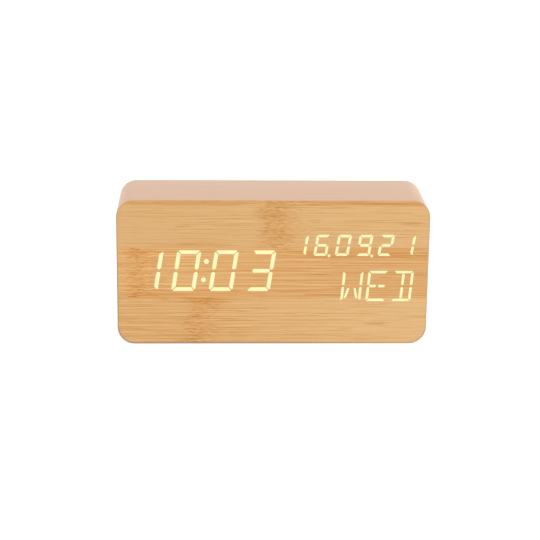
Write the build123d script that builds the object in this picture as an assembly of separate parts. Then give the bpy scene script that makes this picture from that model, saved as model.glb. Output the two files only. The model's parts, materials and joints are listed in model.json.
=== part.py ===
from build123d import *
from collections import namedtuple
import math
import os

# Block alarm clock in bamboo: a milled fibreboard core under thin bamboo sheets, a lit segment
# display that shows through the front sheet, and a moulded cover with a battery bay at the rear.
# X runs to the right seen from the front, Y from the front to the rear, Z up.
# The origin is the middle of the base. Lengths are in millimetres, angles in degrees.

# Case
CASE_WIDTH = 150.0
CASE_HEIGHT = 72.0
CASE_DEPTH = 40.0
CORNER_RADIUS = 8.5
FRONT_PANEL_THICKNESS = 1.0
SIDE_VENEER_THICKNESS = 0.8
REAR_VENEER_THICKNESS = 0.8
EDGE_ROUND = 0.25
CORE_WALL = 4.0
CORE_FRONT_WALL = 8.0
CAVITY_RADIUS = 3.0
POST_SIZE = 7.5
POST_RADIUS = 2.0

# Display frame, its light cells and the text they show
FRAME_HEIGHT = 42.0
FRAME_SIDE_MARGIN = 0.6
FRAME_RADIUS = 1.5
FRAME_CLEARANCE = 0.2
FILL_DEPTH = 6.0
TIME_TEXT = "10:03"
TIME_HEIGHT = 20.45
TIME_WIDTH = 11.55
TIME_STROKE = 1.92
TIME_GAP = 0.45
TIME_CORNER_CUT = 1.2
TIME_TIP = 0.6
TIME_LEAN = 8.8
TIME_FIRST_SHARE = -0.4292
TIME_PITCH_SHARE = 0.1293
TIME_RISE_SHARE = 0.0262
COLON_DIAMETER = 2.4
COLON_SPREAD = 9.2
DATE_TEXT = "16.09.21"
DATE_HEIGHT = 10.55
DATE_WIDTH = 6.6
DATE_STROKE = 1.3
DATE_GAP = 0.32
DATE_CORNER_CUT = 0.75
DATE_TIP = 0.4
DATE_LEAN = 8.8
DATE_FIRST_SHARE = 0.0934
DATE_PITCH_SHARE = 0.074
DATE_RISE_SHARE = 0.3298
DATE_POINT_DIAMETER = 1.4
DAY_TEXT = "WED"
DAY_HEIGHT = 15.35
DAY_WIDTH = 9.8
DAY_STROKE = 1.28
DAY_GAP = 0.4
DAY_CORNER_CUT = 0.9
DAY_TIP = 0.4
DAY_DIAGONAL = 1.1
DAY_DIAGONAL_GAP = 0.3
DAY_LEAN = 5.0
DAY_FIRST_SHARE = 0.2744
DAY_PITCH_SHARE = 0.0876
DAY_RISE_SHARE = -0.1571
LED_LENGTH = 1.0
LED_WIDTH = 0.5
LED_HEIGHT = 0.5

# Display board and the parts on its rear
BOARD_THICKNESS = 1.6
BOARD_CLEARANCE = 0.4
BOARD_SCREW_INSET = 12.7
BOARD_SCREW_BITE = 5.5
CHIP_LENGTH = 18.0
CHIP_WIDTH = 7.6
CHIP_HEIGHT = 2.4
CHIP_SHIFT = 2.0
CRYSTAL_LENGTH = 11.0
CRYSTAL_WIDTH = 4.6
CRYSTAL_HEIGHT = 3.6
CRYSTAL_DROP = 9.0
CAPACITOR_DIAMETER = 6.3
CAPACITOR_HEIGHT = 7.5
CAPACITOR_RISE = 10.0

# Screws
SCREW_DIAMETER = 2.2
SCREW_HEAD_DIAMETER = 4.4
SCREW_HEAD_HEIGHT = 1.5
SCREW_TIP = 1.0
SCREW_FIT = 0.05
SCREW_CLEARANCE = 0.25
RECESS_LENGTH = 2.6
RECESS_WIDTH = 0.7
RECESS_DEPTH = 0.8
PILOT_RELIEF = 0.5
HEAD_CLEARANCE = 0.3
HEAD_SINK = 0.2

# Rear cover
COVER_RECESS = 1.5
COVER_THICKNESS = 3.0
COVER_CLEARANCE = 0.25
COVER_SCREW_BITE = 10.0
BAY_WALL = 1.5
BAY_FLOOR = 1.5
BAY_RADIUS = 1.0
BAY_SIDE_GAP = 1.5
CRADLE_THICKNESS = 1.6
CRADLE_HEIGHT = 3.2
CRADLE_LIFT = 0.5
CRADLE_SPACING = 24.0

# Battery door
DOOR_THICKNESS = 1.8
DOOR_LEDGE = 1.5
DOOR_CLEARANCE = 0.3
DOOR_RADIUS = 1.6
DOOR_GAP = 0.4
TAB_WIDTH = 6.0
TAB_REACH = 1.8
TAB_THICKNESS = 0.8
TAB_CLEARANCE = 0.3
TAB_SPACING = 30.0
FINGER_WIDTH = 12.0
FINGER_LENGTH = 9.0
FINGER_SLOT = 0.8
NIB_REACH = 0.15
NIB_DIAMETER = 0.6
GRIP_COUNT = 3
GRIP_PITCH = 1.8
GRIP_WIDTH = 0.8
GRIP_HEIGHT = 0.35
GRIP_INSET = 1.6
SCOOP_WIDTH = 15.0
SCOOP_HEIGHT = 7.0
SCOOP_RADIUS = 3.0
SCOOP_DEPTH = 1.3

# Battery cells and their contacts
CELL_DIAMETER = 10.4
CELL_LENGTH = 44.5
CELL_PITCH = 11.0
CELL_POLES = (1, -1, 1)
CELL_CLEARANCE = 0.15
CELL_ROUND = 0.5
NUB_DIAMETER = 3.8
NUB_HEIGHT = 1.0
CONTACT_THICKNESS = 0.4
CONTACT_WIDTH = 8.0
DIMPLE_HEIGHT = 0.8
DIMPLE_DIAMETER = 4.0
DIMPLE_TIP_DIAMETER = 2.0
SPRING_LENGTH = 4.6
SPRING_WIRE = 0.6
SPRING_DIAMETER = 7.0
SPRING_TIP_DIAMETER = 4.4
SPRING_TURNS = 2.5
SPRING_FIT = 0.1
TERMINAL_WIDTH = 3.0
TERMINAL_OUT = 2.5
TERMINAL_CLEARANCE = 0.2
LEAD_DIAMETER = 1.2
LEAD_SHIFT = 7.0

# Buttons, their switches and the button board
BUTTON_NAMES = ("set", "up", "down")
BUTTON_LENGTH = 10.0
BUTTON_HEIGHT = 5.5
BUTTON_RADIUS = 2.2
BUTTON_PROUD = 1.0
BUTTON_CLEARANCE = 0.25
BUTTON_ROUND = 0.5
BUTTON_PITCH = 15.0
BUTTON_RISE = 11.0
FLANGE_REACH = 1.0
FLANGE_THICKNESS = 1.2
STEM_DIAMETER = 3.0
STEM_LENGTH = 1.8
SWITCH_SIZE = 6.0
SWITCH_HEIGHT = 3.5
PLUNGER_DIAMETER = 3.4
PLUNGER_REACH = 1.5
PLUNGER_ROOT = 1.0
PLUNGER_FIT = 0.05
PLUNGER_WELL = 2.2
KEY_BOARD_EDGE = 2.5
KEY_BOARD_HEIGHT = 34.0
KEY_BOARD_RADIUS = 1.5
KEY_SCREW_SPACING = 39.0
KEY_SCREW_BITE = 5.0
BOSS_DIAMETER = 5.0
RIBBON_WIDTH = 10.0
RIBBON_THICKNESS = 1.0
RIBBON_DROP = 7.0

# Power socket and buzzer
JACK_SIZE = 8.0
JACK_NOSE_DIAMETER = 6.4
JACK_BORE_DIAMETER = 3.6
JACK_BORE_DEPTH = 9.0
JACK_PIN_DIAMETER = 1.3
JACK_PIN_LENGTH = 7.5
JACK_CLEARANCE = 0.2
JACK_GAP = 0.3
JACK_RECESS = 0.3
JACK_DROP = 12.0
JACK_SHIFT = 15.0
BUZZER_DIAMETER = 20.0
BUZZER_THICKNESS = 0.3
CERAMIC_DIAMETER = 14.0
CERAMIC_THICKNESS = 0.25
BUZZER_RING_WALL = 1.2
BUZZER_RING_HEIGHT = 2.0
BUZZER_DROP = 12.0
BUZZER_SHIFT = 9.0
SOUND_HOLE_DIAMETER = 1.5
SOUND_RING_DIAMETER = 8.0
SOUND_HOLE_COUNT = 6

# One length by which cuts run past the faces they open
OVERRUN = 1.0

# The share of a cable's shorter run that each of its bends takes up
BEND_SHARE = 0.45

# Places that follow from the sizes above
MID_Z = CASE_HEIGHT / 2
FRONT_Y = -CASE_DEPTH / 2
REAR_Y = CASE_DEPTH / 2
CORE_FRONT_Y = FRONT_Y + FRONT_PANEL_THICKNESS
CORE_REAR_Y = REAR_Y - REAR_VENEER_THICKNESS
BOARD_FRONT_Y = CORE_FRONT_Y + CORE_FRONT_WALL
BOARD_REAR_Y = BOARD_FRONT_Y + BOARD_THICKNESS
COVER_OUTER_Y = REAR_Y - COVER_RECESS
COVER_INNER_Y = COVER_OUTER_Y - COVER_THICKNESS
CAVITY_WIDTH = CASE_WIDTH - 2 * (SIDE_VENEER_THICKNESS + CORE_WALL)
CAVITY_HEIGHT = CASE_HEIGHT - 2 * (SIDE_VENEER_THICKNESS + CORE_WALL)
FRAME_WIDTH = CAVITY_WIDTH - 2 * FRAME_SIDE_MARGIN
FILL_REAR_Y = CORE_FRONT_Y + FILL_DEPTH
DOOR_SEAT_Y = COVER_OUTER_Y - DOOR_THICKNESS
CELL_Y = DOOR_SEAT_Y - DOOR_GAP - CELL_DIAMETER / 2
BAY_FLOOR_Y = CELL_Y - CELL_DIAMETER / 2 - CELL_CLEARANCE - CRADLE_LIFT
BAY_BACK_Y = BAY_FLOOR_Y - BAY_FLOOR
BAY_LENGTH = CELL_LENGTH + SPRING_LENGTH + DIMPLE_HEIGHT + 2 * CONTACT_THICKNESS
BAY_HEIGHT = CELL_PITCH * len(CELL_POLES)
DOOR_LENGTH = BAY_LENGTH + 2 * DOOR_LEDGE
DOOR_HEIGHT = BAY_HEIGHT + 2 * DOOR_LEDGE
BAY_X = CAVITY_WIDTH / 2 - POST_SIZE - BAY_SIDE_GAP - DOOR_CLEARANCE - DOOR_LENGTH / 2
DOOR_FOOT_Z = MID_Z - DOOR_HEIGHT / 2
DOOR_HEAD_Z = MID_Z + DOOR_HEIGHT / 2
KEYS_X = (POST_SIZE - CAVITY_WIDTH / 2 + BAY_X - DOOR_LENGTH / 2) / 2
KEYS_Z = MID_Z + BUTTON_RISE
KEY_BOARD_WIDTH = KEY_SCREW_SPACING + 2 * KEY_BOARD_EDGE
CHIP_X = BAY_X - CHIP_SHIFT
CAPACITOR_X = (KEYS_X + KEY_BOARD_WIDTH / 2 + BAY_X - BAY_LENGTH / 2 - BAY_WALL) / 2
PLUNGER_TOP_Y = COVER_INNER_Y - FLANGE_THICKNESS - STEM_LENGTH
SWITCH_TOP_Y = PLUNGER_TOP_Y - PLUNGER_REACH
KEY_BOARD_REAR_Y = SWITCH_TOP_Y - SWITCH_HEIGHT
KEY_BOARD_FRONT_Y = KEY_BOARD_REAR_Y - BOARD_THICKNESS
JACK_X = KEYS_X - JACK_SHIFT
JACK_Z = MID_Z - JACK_DROP
JACK_MOUTH_Y = COVER_OUTER_Y - JACK_RECESS
JACK_SHOULDER_Y = COVER_INNER_Y - JACK_GAP
JACK_FLOOR_Y = JACK_MOUTH_Y - JACK_BORE_DEPTH
BUZZER_X = KEYS_X + BUZZER_SHIFT
BUZZER_Z = MID_Z - BUZZER_DROP
BUZZER_SEAT_Y = COVER_INNER_Y - BUZZER_RING_HEIGHT
TERMINAL_END_Y = BAY_BACK_Y - TERMINAL_OUT

# The strokes each character lights: a to f run clockwise round it, g and n are its middle,
# i and l its upright centre line, h, j, k and m its diagonals
LIT_STROKES = {
    "0": "abcdef", "1": "bc", "2": "abdeg", "3": "abcdg", "4": "bcfg",
    "5": "acdfg", "6": "acdefg", "7": "abc", "8": "abcdefg", "9": "abcdfg",
    "A": "abcefgn", "D": "abcdil", "E": "adefgn", "F": "aefgn", "H": "bcefgn", "I": "adil", "M": "bcefhj",
    "N": "bcefhm", "O": "abcdef", "R": "abefgmn", "S": "acdfgn", "T": "ail", "U": "bcdef", "W": "bcefkm",
}
FLAT_STROKES = "adgn"

Cell = namedtuple("Cell", "group lit upright outline")
StrokeSize = namedtuple("StrokeSize", "width height stroke gap cut tip")


def slab(sketch, front, rear):
    """A solid between two planes across Y, from a sketch drawn in X and Z."""
    return extrude(Plane.XZ.offset(-rear) * sketch, amount=rear - front, dir=(0, -1, 0))


def block(sketch, left, right):
    """A solid between two planes across X, from a sketch drawn in Y and Z."""
    return extrude(Plane.YZ.offset(left) * sketch, amount=right - left, dir=(1, 0, 0))


def rounded(width, height, radius, x=0, z=MID_Z):
    return Pos(x, z) * RectangleRounded(width, height, radius)


def disc(diameter, x, z):
    return Pos(x, z) * Circle(diameter / 2)


def corners(width, height):
    """The four corners of a rectangle about the middle of the case."""
    return [(i * width / 2, MID_Z + j * height / 2) for i in (-1, 1) for j in (-1, 1)]


def case_outline():
    return rounded(CASE_WIDTH, CASE_HEIGHT, CORNER_RADIUS)


def core_outline():
    inset = 2 * SIDE_VENEER_THICKNESS
    return rounded(CASE_WIDTH - inset, CASE_HEIGHT - inset, CORNER_RADIUS - SIDE_VENEER_THICKNESS)


def cavity_outline(inset=0):
    return rounded(CAVITY_WIDTH - 2 * inset, CAVITY_HEIGHT - 2 * inset, CAVITY_RADIUS - inset)


def post_outlines(growth=0):
    """The four corner posts, each reaching its size into the cavity."""
    side = 2 * (POST_SIZE + growth)
    return [rounded(side, side, POST_RADIUS + growth, x, z) for x, z in corners(CAVITY_WIDTH, CAVITY_HEIGHT)]


def cover_screw_places():
    return corners(CAVITY_WIDTH - POST_SIZE, CAVITY_HEIGHT - POST_SIZE)


def board_screw_places():
    """On the front wall, midway between the display window and the cavity's top and bottom."""
    spacing = CAVITY_WIDTH - 2 * (POST_SIZE + BOARD_SCREW_INSET)
    return corners(spacing, (CAVITY_HEIGHT + FRAME_HEIGHT) / 2 + FRAME_CLEARANCE)


def key_screw_places():
    return [(KEYS_X + i * KEY_SCREW_SPACING / 2, MID_Z) for i in (-1, 1)]


def button_x(index):
    return KEYS_X + (index - 1) * BUTTON_PITCH


def cell_z(index):
    return MID_Z + (1 - index) * CELL_PITCH


def flipped(points, across, up):
    """The points mirrored about the character's centre, still in anticlockwise order."""
    mirrored = [(u * across, v * up) for u, v in points]
    return mirrored if across == up else mirrored[::-1]


def ring_strokes(size):
    """The six strokes round a character: mitred, cut off at its outer corners and blunt at its middle."""
    w = size.width / 2
    h = size.height / 2
    stroke = size.stroke
    step = size.gap / math.sqrt(2)
    inner = w - stroke
    middle = w - stroke / 2
    waist = stroke / 2 + step
    blunt = size.tip / 2
    near = (size.cut - step) / 2
    far = (size.cut + step) / 2
    top = [
        (w - size.cut, h), (size.cut - w, h), (far - w, h - near), (step - inner, h - stroke),
        (inner - step, h - stroke), (w - far, h - near),
    ]
    side = [
        (w, h - size.cut), (w - near, h - far), (inner, h - stroke - step), (inner, waist),
        (middle - blunt, step + blunt), (middle + blunt, step + blunt), (w, waist),
    ]
    return {
        "a": top, "d": flipped(top, 1, -1), "b": side, "c": flipped(side, 1, -1),
        "e": flipped(side, -1, -1), "f": flipped(side, -1, 1),
    }


def bar_points(left, right, size):
    """A level bar with blunt points at two places."""
    half = size.stroke / 2
    blunt = size.tip / 2
    below = [(left + blunt, -blunt), (left + half, -half), (right - half, -half), (right - blunt, -blunt)]
    return below + flipped(below, 1, -1)


def seven_strokes(size):
    """A numeral of seven strokes."""
    reach = (size.width - size.stroke) / 2 - size.gap / math.sqrt(2)
    return {**ring_strokes(size), "g": bar_points(-reach, reach, size)}


def fourteen_strokes(size, diagonal, diagonal_gap):
    """A letter of fourteen strokes: the middle is split, with a centre line and four diagonals."""
    step = size.gap / math.sqrt(2)
    half = size.stroke / 2
    blunt = size.tip / 2
    reach = (size.width - size.stroke) / 2 - step
    head = size.height / 2 - size.stroke - size.gap
    foot = half + size.gap
    near = half + diagonal_gap
    far = size.width / 2 - size.stroke - diagonal_gap
    left = bar_points(-reach, -step, size)
    stem = [
        (-half, head), (-half, half + step), (-blunt, step + blunt), (blunt, step + blunt),
        (half, half + step), (half, head),
    ]
    slope = [(near, foot), (near + diagonal, foot), (far, head), (far - diagonal, head)]
    return {
        **ring_strokes(size),
        "g": left, "n": flipped(left, -1, 1), "i": stem, "l": flipped(stem, 1, -1),
        "h": flipped(slope, -1, 1), "j": slope, "k": flipped(slope, -1, -1), "m": flipped(slope, 1, -1),
    }


def leaning(points, x, z, lean):
    """Points of a character at its place on the face, leaning to the right."""
    shift = math.tan(math.radians(lean))
    return [(x + u + v * shift, z + v) for u, v in points]


def without(text, mark):
    """The characters of a row and how many of them stand before each mark."""
    pieces = text.split(mark)
    return "".join(pieces), [len("".join(pieces[:i])) for i in range(1, len(pieces))]


def row_of_cells(group, characters, strokes, first, pitch, z, lean):
    """The light cells of a row of characters."""
    cells = []
    for place, character in enumerate(characters):
        for letter, points in strokes.items():
            outline = Polygon(*leaning(points, first + place * pitch, z, lean))
            cells.append(Cell(group, letter in LIT_STROKES[character], letter not in FLAT_STROKES, outline))
    return cells


def time_cells():
    first = TIME_FIRST_SHARE * FRAME_WIDTH
    pitch = TIME_PITCH_SHARE * FRAME_WIDTH
    z = MID_Z + TIME_RISE_SHARE * FRAME_HEIGHT
    size = StrokeSize(TIME_WIDTH, TIME_HEIGHT, TIME_STROKE, TIME_GAP, TIME_CORNER_CUT, TIME_TIP)
    strokes = seven_strokes(size)
    numerals, colons = without(TIME_TEXT, ":")
    cells = row_of_cells("time", numerals, strokes, first, pitch, z, TIME_LEAN)
    spots = [(-pitch / 2, COLON_SPREAD / 2), (-pitch / 2, -COLON_SPREAD / 2)]
    for place in colons:
        for x, spot_z in leaning(spots, first + place * pitch, z, TIME_LEAN):
            cells.append(Cell("time", True, True, disc(COLON_DIAMETER, x, spot_z)))
    return cells


def date_cells():
    first = DATE_FIRST_SHARE * FRAME_WIDTH
    pitch = DATE_PITCH_SHARE * FRAME_WIDTH
    z = MID_Z + DATE_RISE_SHARE * FRAME_HEIGHT
    size = StrokeSize(DATE_WIDTH, DATE_HEIGHT, DATE_STROKE, DATE_GAP, DATE_CORNER_CUT, DATE_TIP)
    strokes = seven_strokes(size)
    numerals, points = without(DATE_TEXT, ".")
    cells = row_of_cells("date", numerals, strokes, first, pitch, z, DATE_LEAN)
    spot = (DATE_WIDTH / 2 + DATE_GAP + DATE_POINT_DIAMETER / 2 - pitch, -DATE_HEIGHT / 2)
    for place in points:
        x, spot_z = leaning([spot], first + place * pitch, z, DATE_LEAN)[0]
        cells.append(Cell("date", True, True, disc(DATE_POINT_DIAMETER, x, spot_z)))
    return cells


def day_cells():
    first = DAY_FIRST_SHARE * FRAME_WIDTH
    pitch = DAY_PITCH_SHARE * FRAME_WIDTH
    z = MID_Z + DAY_RISE_SHARE * FRAME_HEIGHT
    size = StrokeSize(DAY_WIDTH, DAY_HEIGHT, DAY_STROKE, DAY_GAP, DAY_CORNER_CUT, DAY_TIP)
    strokes = fourteen_strokes(size, DAY_DIAGONAL, DAY_DIAGONAL_GAP)
    return row_of_cells("day", DAY_TEXT, strokes, first, pitch, z, DAY_LEAN)


def pierced(sketch, outlines):
    """A sketch with the outlines cut out of it as holes."""
    return Face(sketch.face().outer_wire(), [outline.face().outer_wire() for outline in outlines])


def front_panel(cells):
    """The bamboo sheet of the face, inside the wrapped sheet and open where the display lights it."""
    face = pierced(core_outline(), [cell.outline for cell in cells if cell.lit])
    return slab(face, FRONT_Y, CORE_FRONT_Y)


def side_veneer():
    """The bamboo sheet wrapped once round the core and the face's sheet."""
    sheet = slab(case_outline() - core_outline(), FRONT_Y, CORE_REAR_Y)
    rim = sheet.faces().sort_by(Axis.Y)[0].outer_wire().edges()
    return fillet(rim, EDGE_ROUND)


def rear_veneer():
    """The bamboo frame glued on the core's rear rim."""
    frame = slab(case_outline() - cavity_outline(), CORE_REAR_Y, REAR_Y)
    rim = frame.faces().sort_by(Axis.Y)[-1].outer_wire().edges()
    return fillet(rim, EDGE_ROUND)


def case_core():
    """The fibreboard block: pocketed from the rear, with a display window and four screw posts."""
    core = slab(core_outline(), CORE_FRONT_Y, CORE_REAR_Y)
    core -= slab(cavity_outline() - post_outlines(), BOARD_FRONT_Y, COVER_INNER_Y)
    core -= slab(cavity_outline(), COVER_INNER_Y, CORE_REAR_Y + OVERRUN)
    grown = 2 * FRAME_CLEARANCE
    window = rounded(FRAME_WIDTH + grown, FRAME_HEIGHT + grown, FRAME_RADIUS + FRAME_CLEARANCE)
    core -= slab(window, CORE_FRONT_Y - OVERRUN, BOARD_FRONT_Y + OVERRUN)
    bore = SCREW_DIAMETER + 2 * SCREW_FIT
    for x, z in cover_screw_places():
        core -= slab(disc(bore, x, z), COVER_INNER_Y - COVER_SCREW_BITE - PILOT_RELIEF, COVER_INNER_Y)
    for x, z in board_screw_places():
        core -= slab(disc(bore, x, z), BOARD_FRONT_Y - BOARD_SCREW_BITE - PILOT_RELIEF, BOARD_FRONT_Y)
    return core


def display_frame(cells):
    """The black moulding whose walls part the light cells."""
    outline = rounded(FRAME_WIDTH, FRAME_HEIGHT, FRAME_RADIUS)
    return slab(pierced(outline, [cell.outline for cell in cells]), CORE_FRONT_Y, BOARD_FRONT_Y)


def lit_fills(cells, group):
    """The translucent fills of a row's lit cells, flush with the face."""
    return [slab(cell.outline, FRONT_Y, FILL_REAR_Y) for cell in cells if cell.lit and cell.group == group]


def unlit_fills(cells):
    """The fills of the unlit cells, which end behind the bamboo."""
    return [slab(cell.outline, CORE_FRONT_Y, FILL_REAR_Y) for cell in cells if not cell.lit]


def led_chips(cells):
    """One diode on the board in the middle of each cell."""
    chips = []
    for cell in cells:
        middle = cell.outline.center()
        size = (LED_WIDTH, LED_LENGTH) if cell.upright else (LED_LENGTH, LED_WIDTH)
        outline = Pos(middle.X, middle.Y) * Rectangle(*size)
        chips.append(slab(outline, BOARD_FRONT_Y - LED_HEIGHT, BOARD_FRONT_Y))
    return chips


def display_board():
    outline = cavity_outline(BOARD_CLEARANCE) - post_outlines(BOARD_CLEARANCE)
    board = slab(outline, BOARD_FRONT_Y, BOARD_REAR_Y)
    for x, z in board_screw_places():
        board -= slab(disc(SCREW_DIAMETER + 2 * SCREW_CLEARANCE, x, z), BOARD_FRONT_Y, BOARD_REAR_Y)
    return board


def controller_chip():
    outline = Pos(CHIP_X, MID_Z) * Rectangle(CHIP_LENGTH, CHIP_WIDTH)
    return slab(outline, BOARD_REAR_Y, BOARD_REAR_Y + CHIP_HEIGHT)


def crystal():
    outline = Pos(CHIP_X, MID_Z - CRYSTAL_DROP) * SlotOverall(CRYSTAL_LENGTH, CRYSTAL_WIDTH)
    return slab(outline, BOARD_REAR_Y, BOARD_REAR_Y + CRYSTAL_HEIGHT)


def capacitor():
    """A can on the board in the lane between the button board and the battery bay."""
    outline = disc(CAPACITOR_DIAMETER, CAPACITOR_X, MID_Z + CAPACITOR_RISE)
    can = slab(outline, BOARD_REAR_Y, BOARD_REAR_Y + CAPACITOR_HEIGHT)
    return fillet(can.faces().sort_by(Axis.Y)[-1].edges(), CELL_ROUND)


def screw(length):
    """A screw along Z whose head stands on the plane at zero, with a cross recess."""
    radius = SCREW_DIAMETER / 2
    head = SCREW_HEAD_DIAMETER / 2
    dome = SCREW_HEAD_HEIGHT / 2
    profile = Polyline(
        (0, SCREW_HEAD_HEIGHT), (head - dome, SCREW_HEAD_HEIGHT), (head, dome), (head, 0), (radius, 0),
        (radius, SCREW_TIP - length), (0, -length), close=True,
    )
    body = revolve(Plane.XZ * make_face(profile), Axis.Z)
    for turn in (0, 90):
        slot = Rot(0, 0, turn) * Box(RECESS_LENGTH, RECESS_WIDTH, 2 * RECESS_DEPTH)
        body -= Pos(0, 0, SCREW_HEAD_HEIGHT) * slot
    return body


def screws(places, seat, length, toward):
    """The same screw at each place, its head on the seat plane and facing along Y."""
    return [Plane((x, seat, z), x_dir=(1, 0, 0), z_dir=(0, toward, 0)) * screw(length) for x, z in places]


def cover_screws():
    sunk = SCREW_HEAD_HEIGHT + HEAD_SINK
    return screws(cover_screw_places(), COVER_OUTER_Y - sunk, COVER_THICKNESS - sunk + COVER_SCREW_BITE, 1)


def board_screws():
    return screws(board_screw_places(), BOARD_REAR_Y, BOARD_THICKNESS + BOARD_SCREW_BITE, 1)


def key_screws():
    return screws(key_screw_places(), KEY_BOARD_FRONT_Y, BOARD_THICKNESS + KEY_SCREW_BITE, -1)


def cover_plate():
    """The flat plate of the cover, softened along its outer edge."""
    outline = cavity_outline(COVER_CLEARANCE)
    plate = slab(outline, COVER_INNER_Y, COVER_OUTER_Y)
    return fillet(plate.faces().sort_by(Axis.Y)[-1].edges(), EDGE_ROUND)


def cover_inside():
    """What stands inwards from the plate: the bay's walls, two bosses and the buzzer ring."""
    grown = 2 * BAY_WALL
    bay = rounded(BAY_LENGTH + grown, BAY_HEIGHT + grown, BAY_RADIUS + BAY_WALL, BAY_X)
    pieces = [slab(bay, BAY_BACK_Y, COVER_INNER_Y)]
    for x, z in key_screw_places():
        pieces.append(slab(disc(BOSS_DIAMETER, x, z), KEY_BOARD_REAR_Y, COVER_INNER_Y))
    opening = disc(BUZZER_DIAMETER - 2 * BUZZER_RING_WALL, BUZZER_X, BUZZER_Z)
    pieces.append(slab(disc(BUZZER_DIAMETER, BUZZER_X, BUZZER_Z) - opening, BUZZER_SEAT_Y, COVER_INNER_Y))
    return pieces


def bay_cuts():
    """The bay, the seat of the door, the two tab notches, the thumb scoop and the two terminal slots."""
    grown = 2 * DOOR_CLEARANCE
    past = COVER_OUTER_Y + OVERRUN
    seat = rounded(DOOR_LENGTH + grown, DOOR_HEIGHT + grown, DOOR_RADIUS + DOOR_CLEARANCE, BAY_X)
    scoop = rounded(SCOOP_WIDTH, SCOOP_HEIGHT, SCOOP_RADIUS, BAY_X, DOOR_HEAD_Z)
    cuts = [
        slab(rounded(BAY_LENGTH, BAY_HEIGHT, BAY_RADIUS, BAY_X), BAY_FLOOR_Y, past),
        slab(seat, DOOR_SEAT_Y, past),
        slab(scoop, COVER_OUTER_Y - SCOOP_DEPTH, past),
    ]
    foot = DOOR_FOOT_Z - TAB_REACH - TAB_CLEARANCE
    head = DOOR_FOOT_Z + DOOR_LEDGE + OVERRUN
    for i in (-1, 1):
        x = BAY_X + i * TAB_SPACING / 2
        notch = Pos(x, (foot + head) / 2) * Rectangle(TAB_WIDTH + 2 * TAB_CLEARANCE, head - foot)
        cuts.append(slab(notch, COVER_INNER_Y, DOOR_SEAT_Y + TAB_THICKNESS + TAB_CLEARANCE))
    for side, index in ((1, 0), (-1, 2)):
        x = BAY_X + side * (BAY_LENGTH - CONTACT_THICKNESS) / 2
        size = (CONTACT_THICKNESS + 2 * TERMINAL_CLEARANCE, TERMINAL_WIDTH + 2 * TERMINAL_CLEARANCE)
        slot = Pos(x, cell_z(index)) * Rectangle(*size)
        cuts.append(slab(slot, BAY_BACK_Y - OVERRUN, BAY_FLOOR_Y + OVERRUN))
    return cuts


def cover_holes():
    """The screw holes, button holes, socket hole and sound holes."""
    past = COVER_OUTER_Y + OVERRUN
    inside = COVER_INNER_Y - OVERRUN
    holes = []
    for x, z in cover_screw_places():
        holes.append(slab(disc(SCREW_DIAMETER + 2 * SCREW_CLEARANCE, x, z), inside, past))
        sunk = SCREW_HEAD_HEIGHT + HEAD_SINK
        holes.append(slab(disc(SCREW_HEAD_DIAMETER + 2 * HEAD_CLEARANCE, x, z), COVER_OUTER_Y - sunk, past))
    for x, z in key_screw_places():
        deep = KEY_BOARD_REAR_Y + KEY_SCREW_BITE + PILOT_RELIEF
        holes.append(slab(disc(SCREW_DIAMETER + 2 * SCREW_FIT, x, z), KEY_BOARD_REAR_Y - OVERRUN, deep))
    for index in range(len(BUTTON_NAMES)):
        holes.append(slab(button_outline(index, BUTTON_CLEARANCE), inside, past))
    holes.append(slab(disc(JACK_NOSE_DIAMETER + 2 * JACK_CLEARANCE, JACK_X, JACK_Z), inside, past))
    holes.append(slab(disc(SOUND_HOLE_DIAMETER, BUZZER_X, BUZZER_Z), inside, past))
    for spot in PolarLocations(SOUND_RING_DIAMETER / 2, SOUND_HOLE_COUNT):
        place = spot.position
        holes.append(slab(disc(SOUND_HOLE_DIAMETER, BUZZER_X + place.X, BUZZER_Z + place.Y), inside, past))
    return holes


def cradles():
    """Two hollowed ribs across the bay on which the cells lie."""
    ribs = []
    outline = Pos(BAY_FLOOR_Y + CRADLE_HEIGHT / 2, MID_Z) * Rectangle(CRADLE_HEIGHT, BAY_HEIGHT)
    for index in range(len(CELL_POLES)):
        outline -= disc(CELL_DIAMETER + 2 * CELL_CLEARANCE, CELL_Y, cell_z(index))
    for i in (-1, 1):
        middle = BAY_X + i * CRADLE_SPACING / 2
        ribs.append(block(outline, middle - CRADLE_THICKNESS / 2, middle + CRADLE_THICKNESS / 2))
    return ribs


def rear_cover():
    return cover_plate() + cover_inside() - bay_cuts() - cover_holes() + cradles()


def finger_sketch():
    """The two slots that free the door's spring finger at its upper edge."""
    slots = Sketch()
    for i in (-1, 1):
        x = BAY_X + i * (FINGER_WIDTH + FINGER_SLOT) / 2
        slots += Pos(x, DOOR_HEAD_Z) * Rectangle(FINGER_SLOT, 2 * FINGER_LENGTH)
    return slots


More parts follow.
